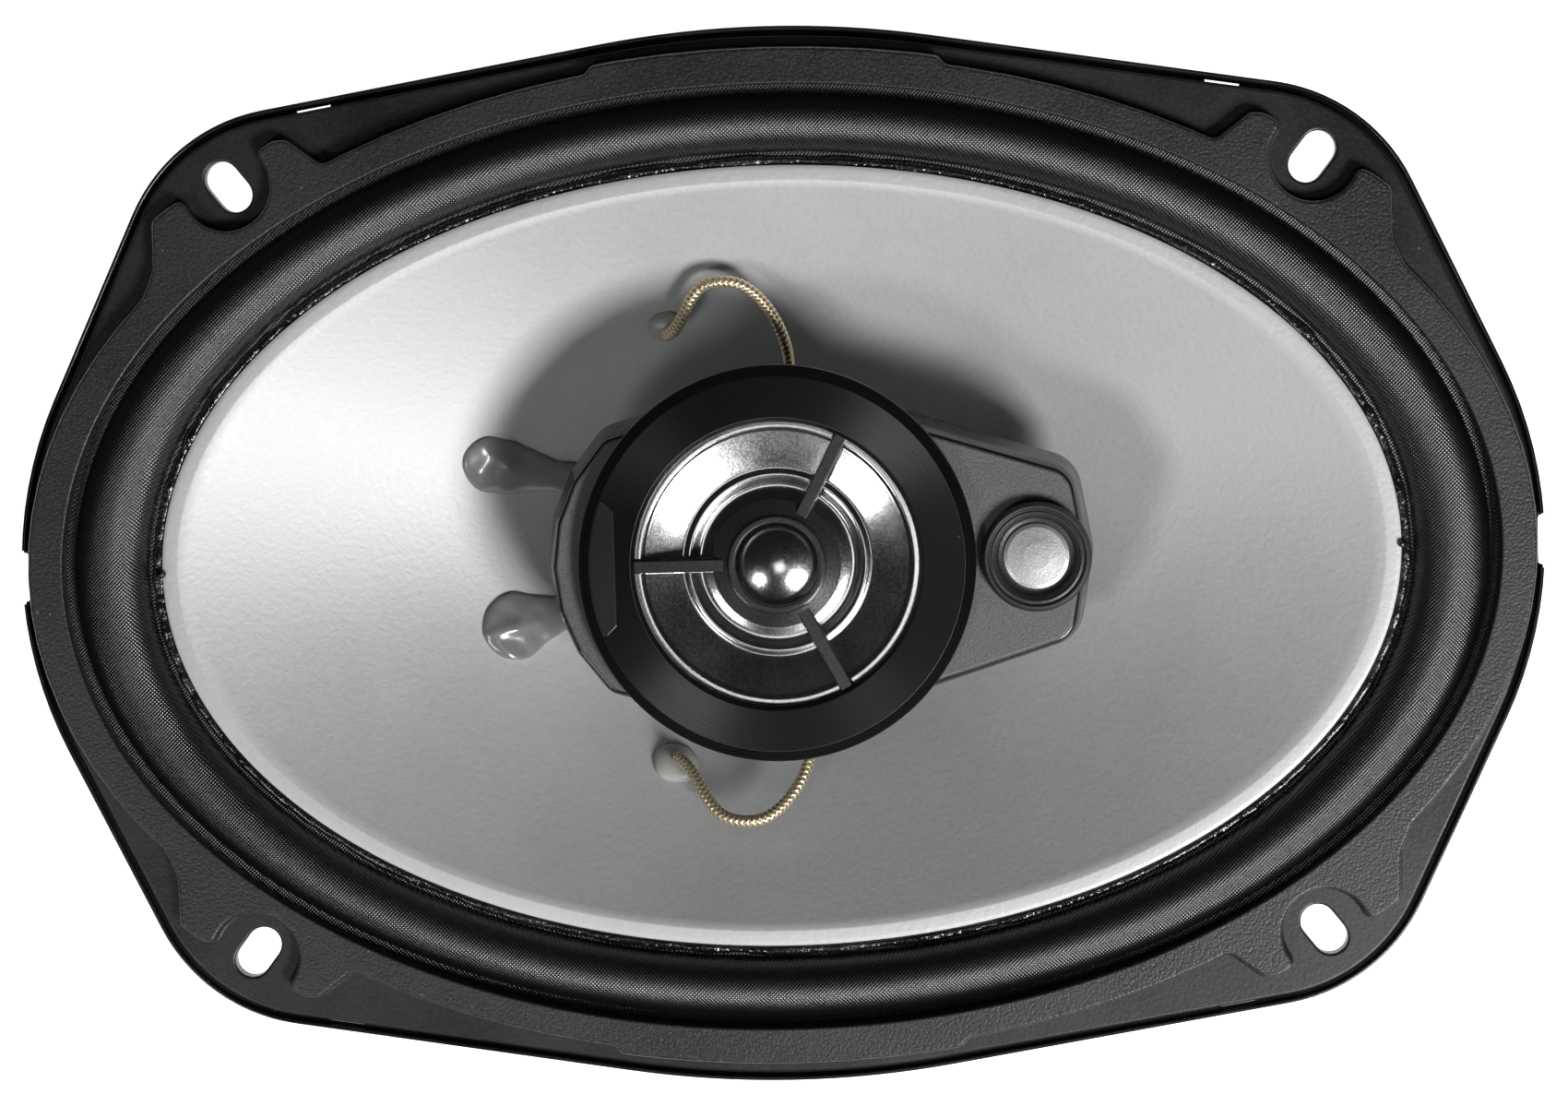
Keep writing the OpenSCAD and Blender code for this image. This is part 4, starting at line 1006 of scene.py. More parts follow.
@dataclass
class Cone:
    """Oval cone with a flat band round its mouth, and the half-roll surround that carries it."""

    neck: float = 15.95
    neck_z: float = -32.0
    mouth: Size = (96.9, 61.2)
    band: float = 2.5
    band_z: float = 1.7
    wall: float = 0.8
    cloth: float = 0.6
    roll_high: float = 4.7
    seat_z: float = 1.25
    neck_gap: float = 0.05
    glue_gap: float = 0.05

    def height(self, x: np.ndarray, y: np.ndarray) -> np.ndarray:
        """Height of the cone's front over a point: the share whose oval passes through it, found by halving.

        Args:
            x: Places along X.
            y: Places along Y.

        Returns:
            Heights.
        """
        low, high = np.zeros_like(x, float), np.ones_like(x, float)
        end = (self.mouth[0] - self.band, self.mouth[1] - self.band)
        for _ in range(24):
            share = (low + high) / 2
            a, b = (self.neck - self.neck_gap + share * (end[i] - self.neck + self.neck_gap)
                    for i in range(2))
            outside = (x / a) ** 2 + (y / b) ** 2 > 1
            low, high = np.where(outside, share, low), np.where(outside, high, share)
        return self.neck_z + (low + high) / 2 * (self.band_z - self.neck_z)

    def front(self, x: float, y: float) -> np.ndarray:
        """The point of the cone's front over (x, y)."""
        return np.array([x, y, float(self.height(np.array([x]), np.array([y]))[0])])

    def normal(self, x: float, y: float) -> np.ndarray:
        """Unit normal of the cone's front at a point."""
        d = 0.2
        hx = self.height(np.array([x + d, x - d]), np.array([y, y]))
        hy = self.height(np.array([x, x]), np.array([y + d, y - d]))
        n = np.array([-(hx[0] - hx[1]) / (2 * d), -(hy[0] - hy[1]) / (2 * d), 1.0])
        return n / np.linalg.norm(n)

    def build(self, shop: PaintShop) -> None:
        """Builds and dresses the cone, its surround and the spider.

        Args:
            shop: Where the finishes come from.
        """
        shop.dress(self.skin(), "cone_skin", CONE_BODY, "cone")
        self.surround(shop)
        self.spider(shop)

    def skin(self) -> bpy.types.Object:
        """Makes the cone's wall, its two faces a wall apart."""
        end = np.array([self.mouth[0] - self.band, self.mouth[1] - self.band, self.band_z])
        start = np.array([self.neck, self.neck, self.neck_z])
        t = np.linspace(0, 1, 40)[:, None]
        rise = start + (end - start) * t
        band = np.array([[self.band * s, self.band * s, lift] for s, lift in
                         ((0.12, 0.02), (0.35, 0.04), (0.7, 0.05), (0.92, 0.02), (1.0, -0.08))]) + end
        lip = np.array([[self.mouth[0], self.mouth[1], self.band_z - self.wall + 0.15],
                        [self.mouth[0] - 0.1, self.mouth[1] - 0.1, self.band_z - self.wall + 0.1]])
        under = (rise - np.array([0, 0, self.wall]))[::-1]
        return oval_shell("cone_skin", np.concatenate([rise, band, lip, under]))

    def feet(self) -> tuple[np.ndarray, np.ndarray]:
        """Half axes of the ovals where the half roll starts and ends."""
        return np.array(self.mouth) + 2.0, np.array(TRIM_IN) - 1.2

    def foot_z(self) -> float:
        """Height of the cloth's inner foot, glued under the cone's band."""
        return self.band_z - self.wall - self.glue_gap - self.cloth

    def roll(self, count: int, thin: float) -> np.ndarray:
        """Rows of the half roll from its inner foot to its outer one: half an oval over the gap.

        Args:
            count: Number of rows.
            thin: How far inside the outer face the rows run.

        Returns:
            Rows of [half length, half width, height].
        """
        foot_in, foot_out = self.feet()
        t = np.linspace(0, 1, count)
        a = math.pi * (1 - t)
        middle, half = (foot_in + foot_out) / 2, (foot_out - foot_in) / 2 - thin
        base = self.foot_z() + (self.seat_z - self.foot_z()) * t + (self.cloth if thin == 0 else 0)
        rows = middle[None] + half[None] * np.cos(a)[:, None]
        return np.column_stack([rows, base + (self.roll_high - thin) * np.sin(a)])

    def surround(self, shop: PaintShop) -> None:
        """Builds the cloth surround, its glue line and nubs.

        Args:
            shop: Where the finishes come from.
        """
        t = self.cloth
        z0, z1 = self.foot_z(), self.seat_z
        inner = np.array(self.mouth) - self.band + 0.4
        outer = np.array(TRIM_IN) + 2.8
        lower = [[[*inner, z0]], self.roll(30, t), [[*outer, z1], [*outer, z1 + t]]]
        rows = np.concatenate(lower + [self.roll(44, 0.0)[::-1], [[*inner, z0 + t]]])
        cloth = oval_shell("surround_cloth", rows, 480)
        shop.dress(cloth, "surround_cloth", None, "surround")
        self.hang(cloth)
        shop.dress(self.glue_line(), "edge_glue", CONE_BODY)
        nub = rounded([(0, 1.4), (0.62, 1.4), (0.62, 2.2), (0.3, 2.75), (0, 2.8)], 0.2)
        nubs = lathe("surround_nubs", nub, 24, (self.mouth[0], 0.0))
        twin = nubs.data.copy()
        twin.transform(Matrix.Rotation(math.pi, 4, "Z"))
        work = bmesh.new()
        work.from_mesh(nubs.data)
        work.from_mesh(twin)
        work.to_mesh(nubs.data)
        work.free()
        bpy.data.meshes.remove(twin)
        shop.dress(nubs, "edge_glue", CONE_BODY)

    def glue_line(self) -> bpy.types.Object:
        """Makes the uneven bead of glue where the cone's edge meets the cloth.

        The bead is a low half-round carried along the cone's mouth, and smooth noise changes its size.

        Returns:
            The bead.
        """
        turns, sides = 720, 14
        t = np.linspace(0, 2 * math.pi, turns, endpoint=False)
        around = np.stack([np.cos(t), np.sin(t), 0 * t], -1)
        size = 1 + 0.28 * swell_noise(around * 100, 5, 9.0)
        a = np.linspace(0, 2 * math.pi, sides, endpoint=False)[:, None]
        out = 0.75 + 0.85 * size * np.cos(a)
        up = 0.75 + np.maximum(np.sin(a), -0.3) * 0.62 * size
        points = np.stack([(self.mouth[0] + out) * np.cos(t), (self.mouth[1] + out) * np.sin(t), up], -1)
        return mesh_object("edge_glue", points.reshape(-1, 3), [grid_quads(sides, turns, True, True)], 80)

    def hang(self, cloth: bpy.types.Object) -> None:
        """Bakes the surround's placement into its mesh; it is not bent, so its inner edge does not follow the
        cone.
        """
        p = mesh_points(cloth)
        bend_with(cloth)

    def spider(self, shop: PaintShop) -> None:
        """Builds the corrugated spider: six sine ripples between a flat collar and a flat rim.

        Args:
            shop: Where the finishes come from.
        """
        z0, r1, r2, ripples = -34.75, 18.95, 46.0, 6
        wave = np.linspace(0, 1, 120)
        top = np.column_stack([r1 + (r2 - r1) * wave, z0 + 0.65 * (1 - np.cos(2 * ripples * math.pi * wave))])
        top = np.concatenate([[[self.neck, z0]], top, [[49.8, z0]]])
        profile = np.concatenate([top, top[::-1] + np.array([0, self.cloth])])
        cloth = lathe("spider_cloth", profile, 160)
        shop.dress(cloth, "spider_cloth", None, "spider")
        p = mesh_points(cloth)
        bend_with(cloth)


@dataclass
class Dabs:
    """Dabs of glue over the lead-out points of the cone."""

    cone: Cone
    head_half: Size = (4.6, 5.3)
    neck_half: Size = (2.6, 2.3)

    def build(self, shop: PaintShop) -> None:
        """Builds and dresses the dabs.

        Args:
            shop: Where the finishes come from.
        """
        shop.dress(self.round_dabs(), "clear_glue", CONE_BODY, "clear_dabs")
        shop.dress(self.long_dabs(), "grey_glue", CONE_BODY, "grey_dabs")

    def round_dabs(self) -> bpy.types.Object:
        """Makes the round dabs: flattened balls set square on the cone, uneven by smooth noise."""
        dabs = Patchwork()
        u, v = np.meshgrid(np.linspace(0, math.pi, 28), np.linspace(0, 2 * math.pi, 64, endpoint=False),
                           indexing="ij")
        ball = np.stack([np.sin(u) * np.cos(v), np.sin(u) * np.sin(v), np.cos(u)], -1)
        for number, (x, y, r) in enumerate(CLEAR_DABS):
            n = self.cone.normal(x, y)
            side = np.cross(n, [0, 0, 1.0])
            side = side / np.linalg.norm(side)
            other = np.cross(n, side)
            swell = 1 + 0.14 * swell_noise(ball * np.array([1, 1, 0.4]), 11 + number, 2.2)
            base = self.cone.front(x, y)
            flat = ball[..., 0:1] * side * r + ball[..., 1:2] * other * r
            up = np.where(ball[..., 2:3] > 0, ball[..., 2:3] * 1.9, ball[..., 2:3] * 0.5) * n
            dabs.add(base + (flat + up) * swell[..., None], False, True)
        return dabs.made("glue_dabs_round", 80)

    def long_dabs(self) -> bpy.types.Object:
        """Makes the long dabs: a low round section carried from a wide head to a broad neck under the pod.

        The half width at a share s of the way is the head's half oval up to the head's middle, and from there
        it eases from the head's half width to the neck's.

        Returns:
            Both dabs as one piece.
        """
        dabs = Patchwork()
        steps, sides = 90, 48
        for number, (x, y) in enumerate(GREY_DABS):
            head, neck = self.head_half[number], self.neck_half[number]
            tail = np.array([-26.0, y * 0.66])
            along = (tail - np.array([x, y])) / np.linalg.norm(tail - np.array([x, y]))
            nose = np.array([x, y]) - along * head * 0.92
            s = np.linspace(0, 1, steps) ** 1.35
            path = nose + s[:, None] * (tail - nose)
            span = np.linalg.norm(tail - nose)
            at = s * span
            swollen = head * np.sqrt(np.clip(1 - ((at - head) / head) ** 2, 0, 1))
            eased_in = neck + (head - neck) * (1 - eased((at - head) / (span * 0.42)))
            width = np.where(at < head, swollen, eased_in)
            width = width * (1 + 0.07 * swell_noise(np.stack([at, 0 * at, 0 * at], -1), 31 + number, 6.0))
            width[0], width[-1] = 0.0, 0.0
            a = np.linspace(0, 2 * math.pi, sides, endpoint=False)
            across = np.array([-along[1], along[0]])
            flat = path[:, None] + across * (width[:, None] * np.cos(a))[..., None]
            tall = 1.7 * (width / head) ** 0.7
            lift = np.sign(np.sin(a)) * np.abs(np.sin(a)) ** 0.75 * tall[:, None]
            if number == 1:
                near = np.exp(-(((at - head * 0.9) / (head * 0.6)) ** 2))[:, None]
                ridge = 0.9 * np.exp(-((np.cos(a)[None] / 0.2) ** 2)) * near
                lift = lift + np.where(np.sin(a) > 0, ridge, 0)
            z = self.cone.height(flat[..., 0], flat[..., 1]) + np.maximum(lift, -0.4) + 0.05
            solid = np.concatenate([flat, z[..., None]], -1)
            uneven = np.where(np.sin(a) > 0, 0.25 * swell_noise(solid, 21 + number, 5.0), 0)
            solid[..., 2] += uneven * (width / head)[:, None]
            dabs.add(solid, False, True)
        return dabs.made("glue_dabs_long", 80)


# ---------------------------------------------------------------- leads


# A route's steps: share of the way, push along X, push away from the X axis, and rise.
FRONT_ROUTE = (
    (0, 0, 0, 0), (0.06, 0.4, 1.8, 2), (0.14, 0.4, 5, 3.8), (0.24, -0.2, 8.8, 5),
    (0.36, -0.6, 12.4, 5.4), (0.48, 0, 14.6, 5), (0.6, 0.6, 15.5, 4), (0.7, 1.2, 14.8, 2.4),
    (0.8, 1.6, 12.8, 0.4), (0.88, 1.6, 9.8, -1.8), (0.94, 1, 6.4, -3.6), (0.98, 0.4, 2.6, -4.2),
    (1, 0, 0.2, -3.2), (1, 0, 0, -1.6), (1, 0, 0, 0),
)
REAR_ROUTE = (
    (0, 0, 0, 0), (0.04, -0.3, 0.2, 2.6), (0.12, -1.2, 0.9, 4), (0.24, -2.2, 1.8, 3.4),
    (0.38, -2.6, 2.6, 1.2), (0.52, -2, 3, -1.2), (0.66, -0.8, 2.8, -3.2), (0.8, 0.6, 2, -4),
    (0.9, 0.8, 1, -3.4), (0.97, 0.2, 0.2, -1.6), (1, 0, 0, 0),
)


@dataclass
class Leads:
    """Braided tinsel leads: two on the cone's front to the pod, two from the terminals to the cone's back."""

    cone: Cone
    radius: float = 0.98
    strands: int = 4
    lay: float = 3.4
    sides: int = 24
    front_ends: tuple[Size, ...] = ((2.4, 22.0), (4.8, -22.0))

    def build(self, shop: PaintShop) -> None:
        """Builds and dresses the four leads.

        Args:
            shop: Where the finishes come from.
        """
        for number, node in enumerate(("front_lead_upper", "front_lead_lower")):
            start = self.over(*CLEAR_DABS[number][:2], 2.6)
            end = np.array([*self.front_ends[number], -6.0])
            self.lead(shop, node, self.route(start, end, FRONT_ROUTE))
        for number, node in enumerate(("rear_lead_positive", "rear_lead_negative")):
            start = np.array([-60.0, 12.0 if number == 0 else -12.0, -35.9])
            end = self.over(*GREY_DABS[number], -2.7)
            self.lead(shop, node, self.route(start, end, REAR_ROUTE))

    def over(self, x: float, y: float, lift: float) -> np.ndarray:
        """A point a distance off the cone's front, along the front's normal at a point."""
        return self.cone.front(x, y) + lift * self.cone.normal(x, y)

    def route(self, start: np.ndarray, end: np.ndarray, steps: tuple[tuple[float, ...], ...]) -> np.ndarray:
        """Carries a route's steps between two points and draws a Catmull-Rom curve through them.

        Args:
            start: Where the lead starts.
            end: Where it ends.
            steps: Shares of the way, each with a push along X, a push away from the X axis and a rise.

        Returns:
            Evenly spaced points of the curve.
        """
        q = np.array(steps, float)
        push = np.stack([q[:, 1], q[:, 2] * np.sign(start[1]), q[:, 3]], -1)
        p = start + q[:, 0:1] * (end - start) + push
        before, after = np.vstack([p[:1], p[:-2]]), np.vstack([p[2:], p[-1:]])
        a, b, c, d = (v[:, None] for v in (before, p[:-1], p[1:], after))
        t = np.linspace(0, 1, 16, endpoint=False)[None, :, None]
        curve = 0.5 * (2 * b + (c - a) * t + (2 * a - 5 * b + 4 * c - d) * t**2 + (3 * b - a - 3 * c + d)
                       * t**3)
        curve = np.vstack([curve.reshape(-1, 3), p[-1:]])
        at = np.concatenate([[0], np.cumsum(np.linalg.norm(np.diff(curve, axis=0), axis=1))])
        even = np.linspace(0, at[-1], int(at[-1] / 0.13))
        return np.stack([np.interp(even, at, curve[:, i]) for i in range(3)], -1)

    def lead(self, shop: PaintShop, node: str, path: np.ndarray) -> None:
        """Makes one braided lead; it is baked in place and not bent with the cone.

        The braid's height at length s and angle f is the greater of two waves that wind opposite ways round
        the lead: the sines of n f plus and minus 2 pi s over the lay.

        Args:
            shop: Where the finishes come from.
            node: The CAD node it stands for.
            path: The lead's middle line.
        """
        along = np.gradient(path, axis=0)
        along = along / np.linalg.norm(along, axis=1)[:, None]
        side = np.cross(along, [0.36, 0.48, -0.8])
        side = side / np.linalg.norm(side, axis=1)[:, None]
        other = np.cross(along, side)
        f = np.linspace(0, 2 * math.pi, self.sides, endpoint=False)[None]
        s = np.concatenate([[0], np.cumsum(np.linalg.norm(np.diff(path, axis=0), axis=1))])[:, None]
        turn = 2 * math.pi * s / self.lay * self.strands
        braid = np.maximum(np.sin(self.strands * f + turn), np.sin(self.strands * f - turn)) * 0.5 + 0.5
        r = self.radius * (0.82 + 0.18 * braid)
        across, up = r * np.cos(f), r * np.sin(f)
        tube = path[:, None] + across[..., None] * side[:, None] + up[..., None] * other[:, None]
        rows, turns = r.shape
        points = np.concatenate([tube.reshape(-1, 3), path[:1], path[-1:]])
        ring = np.arange(turns)
        back, last_ring = np.roll(ring, -1), (rows - 1) * turns
        caps = [np.stack([np.full(turns, rows * turns), ring, back], -1),
                np.stack([np.full(turns, rows * turns + 1), last_ring + back, last_ring + ring], -1)]
        piece = mesh_object(node + "_braid", points, [grid_quads(rows, turns, False, True)] + caps, 80)
        strand = piece.data.attributes.new("strand", "FLOAT", "POINT")
        count = len(piece.data.vertices)
        values = np.concatenate([braid.reshape(-1), [0.5, 0.5]])[:count]
        strand.data.foreach_set("value", values.astype(np.float32))
        shop.dress(piece, "tinsel", None, node)
        bend_with(piece)


# ---------------------------------------------------------------- pod


def woven(parts: list[np.ndarray], links: list[np.ndarray]) -> np.ndarray:
    """Joins parts in order, with a link after each part but the last."""
    return np.concatenate([block for pair in zip(parts, links) for block in pair] + [parts[-1]])


@dataclass
class Pod:
    """Pod over the cone: shell with a grained top, bezel ring, plaque, midrange and tweeter."""

    lobe_turns: tuple[float, ...] = (-46.0, -30.0, -15.0, 0.0, 15.0, 30.0, 46.0)
    lobe_x: float = -8.3
    lobe_reach: float = 23.2
    lobe_r: float = 5.0
    rounds: tuple[tuple[float, ...], ...] = (
        (0, 0, 27.5), (41.5, -9.2, 6.3), (43.1, 0, 6.3), (41.5, 9.2, 6.3))
    low: float = -5.0
    top: float = 8.0
    draft: float = 1.6
    tweeter: float = 40.0
    rim: float = 9.6
    spokes: tuple[float, ...] = (62.0, 180.0, 298.0)

    def outline(self) -> tuple[np.ndarray, np.ndarray]:
        """Outline that hugs the pod's circles, by the direction of its normal.

        In each direction the outline's point lies on the circle that reaches furthest that way, and where the
        furthest circle changes, a straight side joins the two points.

        Returns:
            The outline's points and its inward normals.
        """
        a, r = np.radians(self.lobe_turns), self.lobe_reach
        left = np.stack([self.lobe_x - r * np.cos(a), r * np.sin(a), np.full(len(a), self.lobe_r)], -1)
        circles = np.concatenate([np.array(self.rounds, float), left])
        turn = np.linspace(0, 2 * math.pi, 720, endpoint=False)
        ways = np.stack([np.cos(turn), np.sin(turn)], -1)
        chosen = (ways @ circles[:, :2].T + circles[:, 2]).argmax(axis=1)
        points = circles[chosen, :2] + circles[chosen, 2:] * ways
        t = np.linspace(0, 1, 25, endpoint=False)[1:, None]
        changes = np.nonzero(chosen != np.roll(chosen, -1))[0]
        follow = np.roll(points, -1, axis=0)
        sides = [points[i] + (follow[i] - points[i]) * t for i in changes]
        aims = [np.repeat(ways[i][None], len(t), 0) for i in changes]
        return woven(np.split(points, changes + 1), sides), -woven(np.split(ways, changes + 1), aims)

    def build(self, shop: PaintShop) -> None:
        """Builds and dresses the pod's pieces.

        Args:
            shop: Where the finishes come from.
        """
        points, ways = self.outline()
        self.housing(shop, points, ways)
        self.bezel(shop)
        self.midrange(shop)
        self.tweeter_unit(shop)

    def housing(self, shop: PaintShop, points: np.ndarray, ways: np.ndarray) -> None:
        """Builds the shell's gloss skirt and its grained top face.

        Args:
            shop: Where the finishes come from.
            points: The outline's points.
            ways: The outline's inward normals.
        """
        slope = self.draft / (self.top - self.low)
        a = np.linspace(0, math.pi / 2, 6)
        r, crown = 0.5, self.top - 0.25
        shoulder = np.stack([self.draft + 0.1 + r * (1 - np.cos(a)), crown - r * (1 - np.sin(a))], -1)
        section = np.concatenate([
            [[3.2, self.top - 2.2], [1.6, self.low], [0.25, self.low], [0.0, self.low + 0.25]],
            [[slope * rise, self.low + rise] for rise in (4, 8, 11.6)], shoulder,
            [[4.0, crown], [4.0, self.top - 2.2]],
        ])
        sweep = rim_points(points, section, 1, ways)
        rows, turns = sweep.shape[:2]
        skirt = mesh_object("pod_skirt", sweep.reshape(-1, 3), [grid_quads(rows, turns, True, True)])
        shop.dress(skirt, "pod_gloss", CHASSIS, "pod_housing")
        inner = points + ways * (self.draft + 0.55)
        hole = oval_loop((22.6, 22.6), 160)
        small = oval_loop((5.6, 5.6), 64) + np.array([self.tweeter, 0])
        face = plate("pod_top", inner, [hole, small], edge_section(self.top - 1.8, self.top, 0.1, 0.35),
                     edge_section(self.top - 1.8, self.top, 0.1, 0.1, 2), ways)
        shop.dress(face, "pod_grain", CHASSIS, "pod_housing")

    def bezel(self, shop: PaintShop) -> None:
        """Builds the turned bezel ring and the plaque; no recess is cut in the ring for the plaque.

        Args:
            shop: Where the finishes come from.
        """
        corners = [(22.6, 8), (30.7, 8), (30.7, 10.7), (29.0, 12),
                   (22.5, 12), (21.9, 11.2), (21.9, 10.2), (22.6, 10.2)]
        ring = lathe("bezel_ring_turned", rounded(corners, [0.1, 0.35, 0.5, 0.25, 0.3, 0.2, 0.1, 0.1]), 256)
        shop.dress(ring, "turned_black", CHASSIS, "bezel_ring")
        outer, half = 28.95, 10.5
        top = math.asin(half / outer)
        arc = np.linspace(math.pi - top, math.pi + top, 40)
        curve = np.stack([outer * np.cos(arc), outer * np.sin(arc)], -1)
        straight = np.array([[-26.4, -half], [-24.8, 1.6 - half], [-24.8, half - 1.6], [-26.4, half]])
        outline = resampled(np.concatenate([curve, straight]), 0.25, 0.12)
        face = plate("blank_plaque", outline, [], edge_section(11.6, 12.18, 0.05, 0.16, 3),
                     edge_section(0, 1, 0.1, 0.1, 1))
        shop.dress(face, "plaque_gloss", CHASSIS, "name_plaque")

    def midrange(self, shop: PaintShop) -> None:
        """Builds the coated diaphragm, its dome and the grille over it.

        Args:
            shop: Where the finishes come from.
        """
        z, film_t = self.rim, np.array([0, 0.25])
        line = np.array([(22.3, 0), (21.9, 0), (21.2, 0.02), (20.9, -0.05), (20.5, -0.36), (20.1, -0.45),
                         (17.2, -1.25), (14.8, -2.0), (14.4, -2.0), (14.0, -1.76), (13.5, -1.72),
                         (12.9, -2.0), (12.2, -2.36), (11.6, -2.38), (11.0, -2.25), (10.4, -2.05),
                         (9.3, -1.85)]) + np.array([0, z])
        at = np.arange(len(line), dtype=float)
        fine = np.linspace(0, len(line) - 1, 96)
        near = [np.clip(fine + shift, 0, at[-1]) for shift in (-0.45, -0.2, 0, 0.2, 0.45)]
        smooth = np.stack([np.mean([np.interp(place, at, line[:, i]) for place in near], axis=0)
                           for i in range(2)], -1)
        film = lathe("mid_film", np.concatenate([smooth, smooth[::-1] - film_t]), 256, crease=70)
        shop.dress(film, "metal_film", MID_BODY, "mid_diaphragm")
        rise, dome_r, foot_z = 4.2, 9.2, z - 1.85
        ball = (dome_r**2 + rise**2) / (2 * rise)
        angle = np.linspace(0, math.asin(dome_r / ball), 48)
        over = np.stack([ball * np.sin(angle), foot_z + rise - ball + ball * np.cos(angle)], -1)
        dome = lathe("mid_dome_film", np.concatenate([over, over[::-1] - film_t]), 192, crease=70)
        shop.dress(dome, "metal_film", MID_BODY, "mid_dome")
        self.spoke_grille(shop)

    def spoke_grille(self, shop: PaintShop) -> None:
        """Builds the hub ring over the dome and the three spokes that hold it.

        Args:
            shop: Where the finishes come from.
        """
        z = self.top
        hub = [(9.9, z + 2.1), (9.9, z + 2.5), (7.7, z + 3.6), (7.35, z + 4.1),
               (6.55, z + 4.1), (6.4, z + 3.7), (6.4, z + 3.2), (9.2, z + 2.1)]
        ring = lathe("spoke_hub", rounded(hub, [0.15, 0.3, 0.4, 0.25, 0.25, 0.2, 0.2, 0.1]), 160)
        shop.dress(ring, "grille_plastic", CHASSIS, "spoke_grille")
        spoke = [(-1.15, 2.1), (1.15, 2.1), (0.95, 3.2), (0.8, 3.3), (-0.8, 3.3), (-0.95, 3.2)]
        section = rounded(np.array(spoke) + np.array([0, z]), 0.12, 3)
        reach = np.linspace(7.4, 22.0, 12)[:, None]
        across = section[None, :, 0]
        height = np.broadcast_to(section[None, :, 1], (len(reach), len(section)))
        bars = Patchwork()
        for turn in self.spokes:
            c, s = math.cos(math.radians(turn)), math.sin(math.radians(turn))
            bar = np.stack([reach * c - across * s, reach * s + across * c, height], -1)
            bars.add(bar, False, True, "rows")
        shop.dress(bars.made("spoke_bars"), "grille_plastic", CHASSIS, "spoke_grille")

    def tweeter_unit(self, shop: PaintShop) -> None:
        """Builds the tweeter's ring with its funnel lip, and its silver disc.

        Args:
            shop: Where the finishes come from.
        """
        z, centre = self.top, (self.tweeter, 0.0)
        corners = [(4.4, z - 2.4), (5.0, z - 2.4), (5.0, z), (8.5, z), (8.5, z + 1.9), (8.0, z + 2.6),
                   (7.6, z + 2.6), (7.3, z + 2.2), (6.8, z + 2.4), (5.9, z + 0.7), (5.4, z + 0.5),
                   (4.4, z + 0.5)]
        funnel = rounded(corners, [0.05, 0.05, 0.1, 0.1, 0.35, 0.2, 0.2, 0.15, 0.2, 0.2, 0.1, 0.05])
        ring = lathe("tweeter_funnel", funnel, 128, centre)
        shop.dress(ring, "grille_plastic", CHASSIS, "tweeter_ring")
        face = [(0, z + 0.5), (5.1, z + 0.5), (5.1, z + 0.8), (4.5, z + 1.0), (2, z + 1.2), (0, z + 1.25)]
        disc = lathe("tweeter_disc", rounded(face, [0.01, 0.08, 0.15, 0.2, 0.8, 0.01]), 96, centre)
        shop.dress(disc, "tweeter_silver", CHASSIS, "tweeter_diaphragm")


# ---------------------------------------------------------------- motor and terminals


# CAD nodes that stay in view, with their finishes.
CARRIED = {
    "basket_rivets": "zinc_steel", "terminal_rivet": "brass", "positive_tab": "tin_plate",
    "negative_tab": "tin_plate", "terminal_board": "phenolic", "pod_bolt": "zinc_steel",
    "pod_nut": "zinc_steel", "pod_post": "pod_plastic", "pod_base": "pod_plastic",
    "pod_screws": "zinc_steel", "mid_frame": "pod_plastic", "mid_yoke": "zinc_steel",
    "mid_magnet": "nickel", "mid_pole_plate": "zinc_steel", "mid_voice_coil": "copper_wire",
    "piezo_plate": "brass", "piezo_element": "piezo_ceramic", "crossover_capacitor": "capacitor_sleeve",
    "voice_coil_former": "former_film", "voice_coil_winding": "copper_wire", "dust_seal": "felt",
    "cone_eyelets": "brass",
}


class Motor:
    """Magnet, plates, post and terminals behind the basket."""

    def build(self, shop: PaintShop) -> None:
        """Builds and dresses the motor and the terminals, and gives the carried CAD nodes their finishes.

        Args:
            shop: Where the finishes come from.
        """
        magnet = [(22, -70), (44, -70), (45, -69), (45, -56), (44, -55), (22, -55)]
        shop.dress(lathe("ferrite_ring", rounded(magnet, 0.5)), "ferrite", CHASSIS, "ferrite_magnet")
        front = [(17, -55), (41, -55), (41, -50.6), (40.4, -50), (17, -50)]
        shop.dress(lathe("front_plate", rounded(front, 0.3)), "black_steel", CHASSIS, "top_plate")
        yoke = rounded([(2.7, -73), (5.2, -73), (5.2, -76), (38, -76), (41, -73), (41, -70), (17.2, -70),
                        (15.2, -68), (15.2, -50.5), (14.7, -50), (2.7, -50)],
                       [0.1, 0.1, 0.4, 1.5, 1.5, 0.4, 0.6, 0.6, 0.2, 0.2, 0.2])
        shop.dress(lathe("yoke", yoke), "black_steel", CHASSIS, "t_yoke")
        for node, finish in CARRIED.items():
            shop.carry(node, finish)


# ---------------------------------------------------------------- studio


